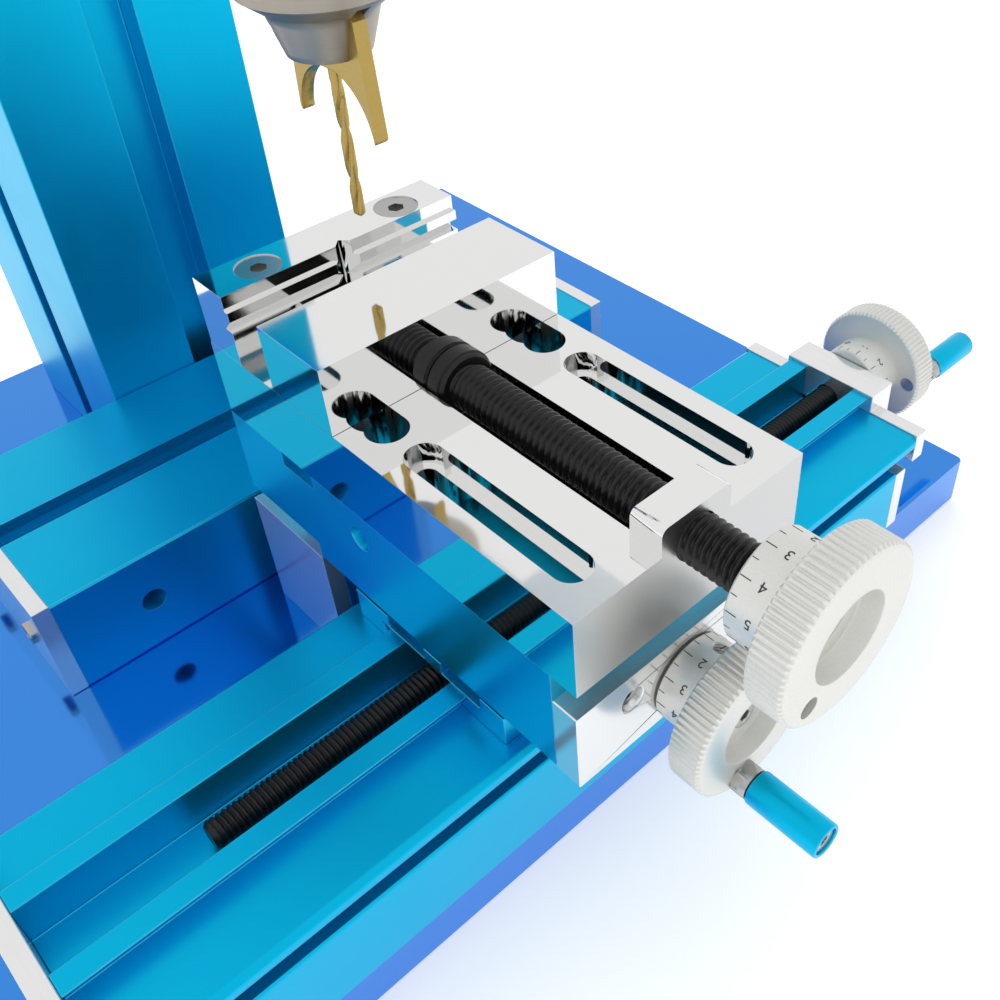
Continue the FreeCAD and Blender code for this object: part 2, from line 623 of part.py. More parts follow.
def hand_units():
    units = (
        ("x", WAY_X, ("rail_left + rail_long + boss_long", "rail_y", "base_thick + bed_high + screw_level"),
         "x_inward", "x_dial_long", 180),
        ("y", WAY_Y, ("0", "table_front - cross_plate", "cross_foot + screw_level"),
         "y_inward", "dial_long", 255),
        ("z", WAY_Z, ("0", "post_front - screw_level", "lift_low + lift_long + cap_thick"),
         "z_inward", "dial_long", 215),
    )
    for prefix, way, origin, inward, dial_long, angle in units:
        screw, along, arm, back = hand_unit(prefix, way, origin, inward, dial_long, angle)
        node(f"{prefix}_leadscrew", joined(*screw))
        handle(prefix, way, origin, along, arm, back)


# ---------------------------------------------------------------- vice
def obround(half, x, near, far, low, high):
    """A slot with round ends along Y."""
    return joined(
        block((f"{x} - {half}", near, low), (f"{x} + {half}", far, high)),
        rod(half, f"{high} - ({low})", (x, near, low)), rod(half, f"{high} - ({low})", (x, far, low)))


def vice_body():
    top = "table_top + vice_high"
    slab = block(
        ("-vice_half", "vice_front", "table_top"), ("vice_half", "vice_front + vice_long", top))
    way = block(
        ("-vice_way", "vice_front + bridge_deep", "table_top + vice_floor"),
        ("vice_way", "anvil_front + 0.5", f"{top} + 1"))
    cuts = [way]
    for side in (-1, 1):
        x = f"{side} * slot_x"
        cuts.append(obround("slot_wide", x, "long_near", "long_far", f"{top} - slot_sink", f"{top} + 1"))
        cuts.append(obround("slot_thin", x, "long_near", "long_far", "table_top - 1", f"{top} + 1"))
        cuts.append(
            obround("slot_wide + 0.6", x, "short_near", "short_far", "table_top - 1", f"{top} + 1"))
        cuts.append(rod(
            "bolt_bore", "bolt_deep + 1", (f"{side} * bolt_x", "bolt_y", f"{top} - bolt_deep - 1")))
    bridge = joined(
        block(("-bridge_half", "vice_front", f"{top} - 1"),
              ("bridge_half", "vice_front + bridge_deep", "bridge_top - 2")),
        block(("-bridge_half + 2", "vice_front", "bridge_top - 2.5"),
              ("bridge_half - 2", "vice_front + bridge_deep", "bridge_top")),
        rod("2", "bridge_deep", ("bridge_half - 2", "vice_front + bridge_deep", "bridge_top - 2"), WAY_Y),
        rod("2", "bridge_deep", ("-bridge_half + 2", "vice_front + bridge_deep", "bridge_top - 2"), WAY_Y))
    thread = rod("vice_screw + run_gap", "bridge_deep + 2",
                 ("0", "vice_front + bridge_deep + 1", "vice_axis"), WAY_Y)
    node("vice_base", less(joined(less(slab, *cuts), bridge), thread))


def vice_jaws():
    top = "table_top + vice_high"
    anvil = block(
        ("-vice_half", "anvil_front", top), ("vice_half", "anvil_front + anvil_deep", f"{top} + anvil_high"))
    vee = extrusion(
        [("-vee_level", "0"), ("vee_level", "0"), ("0", "vee_level")], "2 * vice_half + 2",
        ("-vice_half - 1", "anvil_front", f"{top} + anvil_high / 2"), WAY_X)
    vee_up = extrusion(
        [("-vee_upright", "0"), ("0", "vee_upright"), ("vee_upright", "0")], "anvil_high + 2",
        ("0", "anvil_front", f"{top} - 1"), WAY_Z)
    step = block(("-vice_half - 1", "anvil_front - 1", f"{top} + anvil_high - jaw_step"),
                 ("vice_half + 1", "anvil_front + jaw_step_deep", f"{top} + anvil_high + 1"))
    sinks = []
    screws = []
    head_low = f"{top} + anvil_high - bolt_sink"
    for side in (-1, 1):
        x = f"{side} * bolt_x"
        sinks += [rod("bolt_bore", "anvil_high", (x, "bolt_y", top)),
                  cone("bolt_bore", "bolt_head", "bolt_cone", (x, "bolt_y", head_low)),
                  rod("bolt_head", "1", (x, "bolt_y", f"{head_low} + bolt_cone"))]
        screws.append(less(
            joined(rod("bolt_bore", "anvil_high + bolt_deep - 2.5", (x, "bolt_y", f"{top} - bolt_deep")),
                   cone("bolt_bore", "bolt_head", "bolt_cone", (x, "bolt_y", head_low))),
            hexagon("2.3", "2.5", (x, "bolt_y", f"{head_low} + 0.6"))))
    node("fixed_jaw", less(anvil, vee, vee_up, step, *sinks))
    node("fixed_jaw_screws", group(*screws))
    gap = "slide_gap"
    rear = "jaw_front + jaw_deep"
    head = block(
        ("-vice_half", "jaw_front", f"{top} + {gap}"), ("vice_half", rear, f"{top} + {gap} + jaw_high"))
    tongue = block(
        (f"-vice_way + {gap}", "jaw_front", f"table_top + vice_floor + {gap}"),
        (f"vice_way - {gap}", rear, f"{top} + {gap} + 0.5"))
    socket = rod("screw_bore + run_gap", "14", ("0", "jaw_front + 13", "vice_axis"), WAY_Y)
    node("moving_jaw", less(joined(head, tongue), socket))


def vice_screw():
    """Vice screw with its dial, handwheel and collar; this wheel has no handle fitted."""
    (screw, _), _, _, _ = hand_unit(
        "vice", WAY_Y, ("0", "wheel_front", "vice_axis"), "vice_inward", "vice_dial_long", 225,
        dial="vice_dial", rim="vice_wheel", stem="vice_screw")
    journal = rod("screw_bore", "journal_long", ("0", "jaw_front + 12", "vice_axis"), WAY_Y)
    node("vice_screw", joined(screw, journal))
    ring_at = ("0", "jaw_front - 0.2", "vice_axis")
    node("vice_collar", less(
        rod("vice_way - 0.5", "collar_long", ring_at, WAY_Y),
        rod("screw_bore", "collar_long", ring_at, WAY_Y)))


# ---------------------------------------------------------------- head
def chuck_and_cutter():
    nose = cone("nose_low", "nose_top", "nose_high", ("0", "0", "chuck_low"))
    flare = cone("nose_top", "chuck_bore", "flare_high", ("0", "0", "chuck_low + nose_high"))
    barrel = rod("chuck_bore", "chuck_high - nose_high - flare_high",
                 ("0", "0", "chuck_low + nose_high + flare_high"))
    slit = block(("-blade_half", "-chuck_bore - 2", "chuck_low - 1"),
                 ("blade_half", "chuck_bore + 2", "chuck_low + slit_high"))
    bore = rod("drill_bore", "20", ("0", "0", "chuck_low"))
    pin_hole = rod("1.5", "6", ("-nose_top - 2", "4", "chuck_low + 6"), WAY_X)
    node("chuck", less(joined(nose, flare, barrel), slit, bore, pin_hole))
    blade = doc.addObject("Part::Feature", "blade")
    blade.Shape = blade_shape()
    node("profile_cutter", less(blade, rod("drill_bore", "40", ("0", "0", "chuck_low - 8"))))
    shank = rod("drill_bore", "chuck_low + 20 - drill_low - 2", ("0", "0", "drill_low + 2"))
    point = cone("0.2", "drill_bore", "2", ("0", "0", "drill_low"))
    node("centre_drill", joined(shank, point))


def blade_shape():
    """Flat profile cutter in the Y-Z plane: two tapering wings around a round bead cut-out."""
    low = size("tip_level")
    half = size("blade_half")
    chuck = size("chuck_low")
    top = chuck + size("slit_high")
    right = [
        (size("web_half"), chuck - size("web_deep")), (size("bead_x"), chuck - size("bead_low")),
        (size("wing_inner"), low), (size("wing_tip"), low + 0.8),
        (size("wing_shoulder"), top - 3), (size("wing_crown"), top)]
    left = [(-y, z) for y, z in right]
    outline = [left[3], left[2], left[1], left[0], *right, left[5], left[4]]
    points = [FreeCAD.Vector(-half, y, z) for y, z in outline]
    edges = [
        Part.LineSegment(points[0], points[1]).toShape(),
        Part.Arc(points[1], points[2], points[3]).toShape(),
        Part.LineSegment(points[3], points[4]).toShape(),
        Part.Arc(points[4], points[5], points[6]).toShape(),
    ]
    ring = points[6:] + points[:1]
    edges += [Part.LineSegment(a, b).toShape() for a, b in zip(ring, ring[1:])]
    face = Part.Face(Part.Wire(edges))
    return face.extrude(FreeCAD.Vector(2 * half, 0, 0))


def head():
    rear = "post_front - rail_high"
    ledge = "post_front - rail_ledge - slide_gap"
    mouth, top = dove_cavity("0")
    carrier = extrusion([
        ("carriage_wide / 2", "0"), ("carriage_wide / 2", f"{ledge} - carrier_front"),
        (mouth, f"{ledge} - carrier_front"), (top, f"{rear} - slide_gap - carrier_front"),
        (f"-({top})", f"{rear} - slide_gap - carrier_front"), (f"-({mouth})", f"{ledge} - carrier_front"),
        ("-carriage_wide / 2", f"{ledge} - carrier_front"), ("-carriage_wide / 2", "0")],
        "carrier_long", ("0", "carrier_front", "carrier_low"), WAY_Z)
    node("z_carriage", carrier)
    node("z_nut", less(
        block(("-way_half + nut_slack", f"{rear} - slide_gap", "carrier_low + z_nut_low"),
              ("way_half - nut_slack", "post_front - way_floor - nut_slack",
               "carrier_low + z_nut_low + z_nut_high")),
        rod("screw_bore + run_gap", "z_nut_high + 2",
            ("0", "post_front - screw_level", "carrier_low + z_nut_low - 1"))))
    node("head_spacer", block(
        ("-head_half + 2", "head_far", "carrier_low + 2"),
        ("head_half - 2", "carrier_front", "carrier_low + 38")))
    shell = block(("-head_half", "-head_near", "head_low"), ("head_half", "head_far", "head_low + head_high"))
    nose = rod("22", "6", ("0", "0", "head_low - 1"))
    bore = rod("spindle_bore + run_gap", "head_high + 4", ("0", "0", "head_low - 2"))
    top = "head_low + head_high"
    right = "motor_x + motor_round - 1"
    shelf = block(
        ("head_half - 1", "-shelf_half", f"{top} - shelf_thick"), (right, "shelf_half", top))
    plate = f"{top} + stand_low"
    wall = block((f"{right} - stand_thick", "-shelf_half", f"{top} - 1"), (right, "shelf_half", plate))
    stand = block(
        ("motor_x - motor_round + 1", "-shelf_half", plate), (right, "shelf_half", f"{plate} + stand_thick"))
    shaft_hole = rod("shaft_bore + run_gap", "stand_thick + 2", ("motor_x", "0", f"{plate} - 1"))
    node("headstock", less(joined(shell, shelf, wall, stand), nose, bore, shaft_hole))
    motor_foot = f"{plate} + stand_thick"
    node("motor", less(
        rod("motor_round", "motor_long", ("motor_x", "0", motor_foot)),
        rod("shaft_bore + run_gap", "11", ("motor_x", "0", f"{motor_foot} - 1"))))
    level = "head_low + head_high + 2"
    node("spindle", joined(
        rod("spindle_bore", "head_high + 6", ("0", "0", "chuck_low + chuck_high")),
        rod("pulley_stub", "pulley_high + 6", ("0", "0", f"{level} - 1"))))
    seat = ("0", "0", f"{level} + 3")
    node("spindle_pulley", less(
        rod("spin_pulley", "pulley_high", seat), rod("pulley_stub", "pulley_high", seat)))
    node("motor_rotor", joined(
        rod("shaft_bore", f"{motor_foot} + 9 - ({level})", ("motor_x", "0", level)),
        rod("motor_pulley", "pulley_high", ("motor_x", "0", f"{level} + 3"))))
    belt = doc.addObject("Part::Feature", "belt_loop")
    belt.Shape = belt_shape(number(f"{level} + 4.5"), size("belt_wide"))
    node("drive_belt", belt)


def belt_shape(low, high):
    """Closed belt around the two pulleys, clear of both by a small gap."""
    inner_gap = size("belt_gap")
    outer_gap = inner_gap + size("belt_thick")
    inner, outer = [
        belt_loop(size("spin_pulley") + gap, size("motor_pulley") + gap, low, high)
        for gap in (inner_gap, outer_gap)]
    return outer.cut(inner)


def belt_loop(big, small, low, high):
    """Solid hull of two circles joined by their outer tangents."""
    reach = size("motor_x")
    lean = math.acos((big - small) / reach)
    points = {}
    for sign in (-1, 1):
        points[("big", sign)] = FreeCAD.Vector(big * math.cos(lean), sign * big * math.sin(lean), low)
        points[("small", sign)] = FreeCAD.Vector(
            reach + small * math.cos(lean), sign * small * math.sin(lean), low)
    edges = [
        Part.Arc(points[("big", 1)], FreeCAD.Vector(-big, 0, low), points[("big", -1)]).toShape(),
        Part.LineSegment(points[("big", -1)], points[("small", -1)]).toShape(),
        Part.Arc(
            points[("small", -1)], FreeCAD.Vector(reach + small, 0, low), points[("small", 1)]).toShape(),
        Part.LineSegment(points[("small", 1)], points[("big", 1)]).toShape(),
    ]
    return Part.Face(Part.Wire(edges)).extrude(FreeCAD.Vector(0, 0, high))


base_plate()
beds()
x_rail()
column()
z_rail()
plate_screws()
saddle()
table()
hand_units()
vice_body()
vice_jaws()
vice_screw()
chuck_and_cutter()
head()
sheet.clear("D1")
doc.recompute()

faults = [thing.Name for thing in doc.Objects if {"Invalid", "Error"} & set(thing.State)]
for part in NODES:
    if part.Shape.isNull() or not part.Shape.isValid() or not part.Shape.Solids:
        faults.append(part.Label)
if faults:
    raise RuntimeError("failed objects: " + ", ".join(faults))
os.makedirs("parts", exist_ok=True)
for part in NODES:
    part.Shape.exportStep(f"parts/{part.Label}.step")
    box = part.Shape.BoundBox
    print(f"{part.Label:24s} solids {len(part.Shape.Solids)} volume {part.Shape.Volume:10.1f}",
          f" x {box.XMin:.1f}..{box.XMax:.1f} ",
          f" y {box.YMin:.1f}..{box.YMax:.1f} ",
          f" z {box.ZMin:.1f}..{box.ZMax:.1f}")
print(len(NODES), "nodes")
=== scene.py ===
"""Benchtop milling machine: its visible model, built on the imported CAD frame.

Each operator finishes one piece or one group of like pieces. Pieces that need more detail than their
solids have (handwheels, dials, threads, handles, the drill, the motor) are turned or swept here, in
millimetres along their own axes, and then moved to the place that the frame gives.
"""
import math
import bmesh
import bpy
from bpy.props import FloatProperty, FloatVectorProperty, IntProperty, PointerProperty
from mathutils import Matrix, Vector


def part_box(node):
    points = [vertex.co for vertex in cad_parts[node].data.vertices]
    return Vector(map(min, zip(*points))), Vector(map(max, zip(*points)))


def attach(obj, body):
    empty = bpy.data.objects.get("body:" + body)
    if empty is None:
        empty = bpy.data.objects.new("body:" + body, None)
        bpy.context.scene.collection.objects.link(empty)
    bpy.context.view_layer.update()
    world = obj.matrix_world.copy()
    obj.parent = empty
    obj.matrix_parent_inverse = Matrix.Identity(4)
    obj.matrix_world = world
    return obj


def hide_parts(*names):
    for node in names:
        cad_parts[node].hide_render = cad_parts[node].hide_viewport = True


bl_info = {
    "name": "Benchtop milling machine",
    "version": (1, 0, 0),
    "blender": (4, 5, 0),
    "location": "3D View > Sidebar > Mill",
    "description": "Builds the visible model of a benchtop milling machine on its CAD frame",
    "category": "Object",
}

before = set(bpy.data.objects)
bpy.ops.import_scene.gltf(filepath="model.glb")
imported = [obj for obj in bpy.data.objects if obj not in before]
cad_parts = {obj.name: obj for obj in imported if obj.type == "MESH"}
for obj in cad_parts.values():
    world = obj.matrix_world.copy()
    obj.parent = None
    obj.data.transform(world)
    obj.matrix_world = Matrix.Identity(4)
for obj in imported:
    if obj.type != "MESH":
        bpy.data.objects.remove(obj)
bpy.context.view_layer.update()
MM = 0.001
TAU = 2 * math.pi

# Own axes of the turned pieces: the columns say where their x, y and z point on the machine.
ALONG_X = Matrix(((0, 0, 1), (1, 0, 0), (0, 1, 0)))
ALONG_FRONT = Matrix(((1, 0, 0), (0, 0, -1), (0, 1, 0)))
ALONG_Z = Matrix.Identity(3)
ALONG_DOWN = Matrix.Diagonal((1, -1, -1))

# Sizes that the turned pieces share with their solids, in millimetres; radii unless their name says more.
FEED_STEM = 4.0
VICE_STEM = 6.0
COLLAR = 8.5
HUB_RECESS = 10.5
HUB_DEEP = 5.5
HANDLE_ARM = 15.5
STUD = 2.5
GRIP_BORE = 2.55
GRIP = 4.45
GRIP_RECESS = 3.45
GRIP_GAP = 0.2
NUT_CORNER = 4.6
NUT_HIGH = 4.0
WHEEL_THICK = 9.5
PLATE_THICK = 5.0
BUTTON_HIGH = 1.6
BUTTON_LEVEL = 5.5
DRILL = 1.4
MOTOR = 21.0
BIG_PULLEY = 20.0
SMALL_PULLEY = 10.0
BELT_GAP = 0.3
BELT_THICK = 1.6

# Hand-turned units: own axes, bodies, angle of the dial's zero and of the handle, radius of the stem.
HAND_UNITS = {
    "x": {"way": ALONG_X, "body": "x_screw_set", "grip": "x_grip",
          "marks_from": 60, "arm": 180, "stem": FEED_STEM},
    "y": {"way": ALONG_FRONT, "body": "y_screw_set", "grip": "y_grip",
          "marks_from": 32, "arm": 255, "stem": FEED_STEM},
    "z": {"way": ALONG_Z, "body": "z_screw_set", "grip": "z_grip",
          "marks_from": 0, "arm": 215, "stem": FEED_STEM},
    "vice": {"way": ALONG_FRONT, "body": "vice_screw_set", "grip": None,
             "marks_from": -10, "arm": 225, "stem": VICE_STEM},
}


# ------------------------------------------------------------------ settings
class MillFinish(bpy.types.PropertyGroup):
    """Colours of the machine's finishes."""
    blue: FloatVectorProperty(
        name="Blue anodising", description="Colour of the extrusions, slides and grips",
        subtype="COLOR", size=3, min=0, max=1, default=(0.0, 0.49, 0.79))
    violet: FloatVectorProperty(
        name="Base anodising", description="Colour of the base plate",
        subtype="COLOR", size=3, min=0, max=1, default=(0.05, 0.27, 0.80))
    silver: FloatVectorProperty(
        name="Blasted aluminium", description="Colour of the handwheels and dials",
        subtype="COLOR", size=3, min=0, max=1, default=(0.78, 0.78, 0.75))
    nickel: FloatVectorProperty(
        name="Nickel plate", description="Colour of the vice and the polished plates",
        subtype="COLOR", size=3, min=0, max=1, default=(0.86, 0.86, 0.855))
    black: FloatVectorProperty(
        name="Black oxide", description="Colour of the screws' threads",
        subtype="COLOR", size=3, min=0, max=1, default=(0.012, 0.011, 0.011))
    gold: FloatVectorProperty(
        name="Nitride coating", description="Colour of the cutter and its drill",
        subtype="COLOR", size=3, min=0, max=1, default=(0.42, 0.30, 0.09))


class MillSizes(bpy.types.PropertyGroup):
    """Sizes of the details that the frame leaves plain."""
    edge: FloatProperty(
        name="Edge break", description="Width of the broken edges on machined parts",
        default=0.0004, min=0, unit="LENGTH", subtype="DISTANCE")
    feed_pitch: FloatProperty(
        name="Feed pitch", description="Thread pitch of the three leadscrews",
        default=0.0015, min=0.0002, unit="LENGTH", subtype="DISTANCE")
    vice_pitch: FloatProperty(
        name="Vice pitch", description="Thread pitch of the vice screw",
        default=0.002, min=0.0002, unit="LENGTH", subtype="DISTANCE")
    flutes: IntProperty(
        name="Rim grooves", description="Number of grip grooves round a handwheel", default=78, min=12)
    flute_deep: FloatProperty(
        name="Groove depth", description="Depth of the grip grooves",
        default=0.0006, min=0, unit="LENGTH", subtype="DISTANCE")
    dial_lines: IntProperty(
        name="Dial lines", description="Number of lines round a dial", default=20, min=10)
    drill_pitch: FloatProperty(
        name="Drill twist", description="Length of one turn of the drill's flutes",
        default=0.024, min=0.004, unit="LENGTH", subtype="DISTANCE")


class MillStudio(bpy.types.PropertyGroup):
    """Camera and light."""
    place: FloatVectorProperty(
        name="Camera place", description="Camera position from the spindle axis on the base's underside",
        subtype="TRANSLATION", size=3, default=(-0.1265, -0.2159, 0.2844))
    azimuth: FloatProperty(
        name="Azimuth", description="Direction that the camera looks from, round the machine",
        default=math.radians(-42.74), unit="ROTATION", subtype="ANGLE")
    elevation: FloatProperty(
        name="Elevation", description="Angle of the camera above the horizon",
        default=math.radians(41.32), unit="ROTATION", subtype="ANGLE")
    roll: FloatProperty(
        name="Roll", description="Turn of the camera about its own line of sight",
        default=math.radians(-1.98), unit="ROTATION", subtype="ANGLE")
    lens: FloatProperty(
        name="Lens", description="Focal length in millimetres on a 36 mm sensor", default=40.34, min=10)
    shift_x: FloatProperty(name="Shift across", description="Sideways shift of the lens", default=-0.092)
    shift_y: FloatProperty(name="Shift up", description="Upward shift of the lens", default=-0.030)
    sky: FloatProperty(name="Surround light", description="Strength of the even light", default=0.90, min=0)
    floor_glow: FloatProperty(
        name="Floor glow", description="Light that the pale floor gives by itself", default=0.32, min=0)
    key: FloatProperty(
        name="Key light", description="Power of the large lamp overhead",
        default=1.6, min=0, unit="POWER", subtype="POWER")
    fill: FloatProperty(
        name="Fill light", description="Power of the lamp in front",
        default=0.5, min=0, unit="POWER", subtype="POWER")


# ------------------------------------------------------------------ node trees
def new_group(name, inputs, outputs):
    """A shader node group with float or vector inputs and float outputs."""
    tree = bpy.data.node_groups.new(name, "ShaderNodeTree")
    for label, kind, value in inputs:
        socket = tree.interface.new_socket(name=label, in_out="INPUT", socket_type=kind)
        socket.default_value = value
    for label in outputs:
        tree.interface.new_socket(name=label, in_out="OUTPUT", socket_type="NodeSocketFloat")
    return tree, tree.nodes.new("NodeGroupInput"), tree.nodes.new("NodeGroupOutput")


def grain_group():
    """Noise on the piece's own coordinates; unequal stretch gives brushed or turned lines."""
    tree, given, out = new_group("grain", [
        ("Stretch", "NodeSocketVector", (1000, 1000, 1000)), ("Detail", "NodeSocketFloat", 4)], ["Value"])
    coords = tree.nodes.new("ShaderNodeTexCoord")
    mapping = tree.nodes.new("ShaderNodeMapping")
    noise = tree.nodes.new("ShaderNodeTexNoise")
    noise.inputs["Scale"].default_value = 1
    noise.inputs["Roughness"].default_value = 0.6
    tree.links.new(coords.outputs["Object"], mapping.inputs["Vector"])
    tree.links.new(given.outputs["Stretch"], mapping.inputs["Scale"])
    tree.links.new(mapping.outputs["Vector"], noise.inputs["Vector"])
    tree.links.new(given.outputs["Detail"], noise.inputs["Detail"])
    tree.links.new(noise.outputs["Fac"], out.inputs["Value"])
    return tree


def smudge_group():
    """Broad uneven patches between a low and a high value, as handling leaves on metal."""
    tree, given, out = new_group("smudge", [
        ("Scale", "NodeSocketFloat", 60), ("Low", "NodeSocketFloat", 0.1),
        ("High", "NodeSocketFloat", 0.2)], ["Value"])
    coords = tree.nodes.new("ShaderNodeTexCoord")
    noise = tree.nodes.new("ShaderNodeTexNoise")
    noise.inputs["Detail"].default_value = 3
    noise.inputs["Distortion"].default_value = 0.6
    spread = tree.nodes.new("ShaderNodeMapRange")
    spread.inputs["From Min"].default_value = 0.3
    spread.inputs["From Max"].default_value = 0.7
    tree.links.new(coords.outputs["Object"], noise.inputs["Vector"])
    tree.links.new(given.outputs["Scale"], noise.inputs["Scale"])
    tree.links.new(noise.outputs["Fac"], spread.inputs["Value"])
    tree.links.new(given.outputs["Low"], spread.inputs["To Min"])
    tree.links.new(given.outputs["High"], spread.inputs["To Max"])
    tree.links.new(spread.outputs["Result"], out.inputs["Value"])
    return tree


def facing_group():
    """Mask of the surfaces that face a given direction of the piece."""
    tree, given, out = new_group("facing", [
        ("Direction", "NodeSocketVector", (0, 0, 1)), ("Limit", "NodeSocketFloat", 0.8)], ["Mask"])
    coords = tree.nodes.new("ShaderNodeTexCoord")
    dot = tree.nodes.new("ShaderNodeVectorMath")
    dot.operation = "DOT_PRODUCT"
    above = tree.nodes.new("ShaderNodeMath")
    above.operation = "GREATER_THAN"
    tree.links.new(coords.outputs["Normal"], dot.inputs[0])
    tree.links.new(given.outputs["Direction"], dot.inputs[1])
    tree.links.new(dot.outputs["Value"], above.inputs[0])
    tree.links.new(given.outputs["Limit"], above.inputs[1])
    tree.links.new(above.outputs["Value"], out.inputs["Mask"])
    return tree


def wear_group():
    """Mask of a part's edges, broken up by noise, where a lighter colour is painted on as an edge
    highlight.
    """
    tree, given, out = new_group(
        "painted_edge_highlight", [("Width", "NodeSocketFloat", 0.0005), ("Amount", "NodeSocketFloat", 1)], ["Mask"])
    bevel = tree.nodes.new("ShaderNodeBevel")
    bevel.samples = 4
    surface = tree.nodes.new("ShaderNodeNewGeometry")
    dot = tree.nodes.new("ShaderNodeVectorMath")
    dot.operation = "DOT_PRODUCT"
    spread = tree.nodes.new("ShaderNodeMapRange")
    spread.inputs["From Min"].default_value = 0.995
    spread.inputs["From Max"].default_value = 0.9
    coords = tree.nodes.new("ShaderNodeTexCoord")
    noise = tree.nodes.new("ShaderNodeTexNoise")
    noise.inputs["Scale"].default_value = 260
    broken = tree.nodes.new("ShaderNodeMath")
    broken.operation = "MULTIPLY"
    scaled = tree.nodes.new("ShaderNodeMath")
    scaled.operation = "MULTIPLY"
    tree.links.new(given.outputs["Width"], bevel.inputs["Radius"])
    tree.links.new(bevel.outputs["Normal"], dot.inputs[0])
    tree.links.new(surface.outputs["Normal"], dot.inputs[1])
    tree.links.new(dot.outputs["Value"], spread.inputs["Value"])
    tree.links.new(coords.outputs["Object"], noise.inputs["Vector"])
    tree.links.new(spread.outputs["Result"], broken.inputs[0])
    tree.links.new(noise.outputs["Fac"], broken.inputs[1])
    tree.links.new(broken.outputs["Value"], scaled.inputs[0])
    tree.links.new(given.outputs["Amount"], scaled.inputs[1])
    tree.links.new(scaled.outputs["Value"], out.inputs["Mask"])
    return tree


GROUP_MAKERS = {
    "grain": grain_group, "smudge": smudge_group, "facing": facing_group, "painted_edge_highlight": wear_group}


def use_group(tree, name, **values):
    """Place a shared group in a material, with its own values."""
    inner = bpy.data.node_groups.get(name) or GROUP_MAKERS[name]()
    step = tree.nodes.new("ShaderNodeGroup")
    step.node_tree = inner
    for label, value in values.items():
        step.inputs[label].default_value = value
    return step


def blend(tree, kind, mask, first, second):
    """Mix two colours or two numbers, either of which may be a link, by a mask."""
    mix = tree.nodes.new("ShaderNodeMix")
    mix.data_type = kind
    tree.links.new(mask, mix.inputs["Factor"])
    for socket, value in ((mix.inputs["A"], first), (mix.inputs["B"], second)):
        if isinstance(value, bpy.types.NodeSocket):
            tree.links.new(value, socket)
        else:
            socket.default_value = (*value, 1) if kind == "RGBA" else value
    return mix.outputs["Result"]


def shade(colour, factor):
    """A lighter or darker colour."""
    return tuple(min(1.0, part * factor) for part in colour)


def finish_material(name, colour, metallic, rough, grain, bump,
                    coat=0.0, tone=0.85, edge_highlight=None, dull_face=None):
    """One machine finish: tone and relief from grain, roughness from smudges, then painted edge highlights.

    rough is (low, high); grain is the stretch of the grain; bump is (strength, distance);
    tone is how dark the grain's dark side is; edge_highlight is (colour, width, amount) of the painted edge
    highlight;
    dull_face is (direction, roughness, tone) for a face that is ground but not polished.
    """
    material = bpy.data.materials.new(name)
    material.use_nodes = True
    tree = material.node_tree
    shader = tree.nodes["Principled BSDF"]
    shader.inputs["Metallic"].default_value = metallic
    shader.inputs["Coat Weight"].default_value = coat
    shader.inputs["Coat Roughness"].default_value = 0.04
    lines = use_group(tree, "grain", Stretch=grain, Detail=5)
    patches = use_group(tree, "smudge", Scale=22, Low=rough[0], High=rough[1])
    tint = blend(tree, "RGBA", lines.outputs["Value"], shade(colour, tone), shade(colour, 2 - tone))
    roughness = patches.outputs["Value"]
    if dull_face:
        direction, dull_rough, dull_tone = dull_face
        mask = use_group(tree, "facing", Direction=direction, Limit=0.9).outputs["Mask"]
        tint = blend(tree, "RGBA", mask, tint, shade(colour, dull_tone))
        roughness = blend(tree, "FLOAT", mask, roughness, dull_rough)
    # Edges get a lighter colour: a painted edge highlight.
    if edge_highlight:
        highlight_colour, width, amount = edge_highlight
        lit_edge = use_group(tree, "painted_edge_highlight", Width=width, Amount=amount)
        tint = blend(tree, "RGBA", lit_edge.outputs["Mask"], tint, highlight_colour)
    relief = tree.nodes.new("ShaderNodeBump")
    relief.inputs["Strength"].default_value = bump[0]
    relief.inputs["Distance"].default_value = bump[1]
    tree.links.new(lines.outputs["Value"], relief.inputs["Height"])
    tree.links.new(tint, shader.inputs["Base Color"])
    tree.links.new(roughness, shader.inputs["Roughness"])
    tree.links.new(relief.outputs["Normal"], shader.inputs["Normal"])
    return material


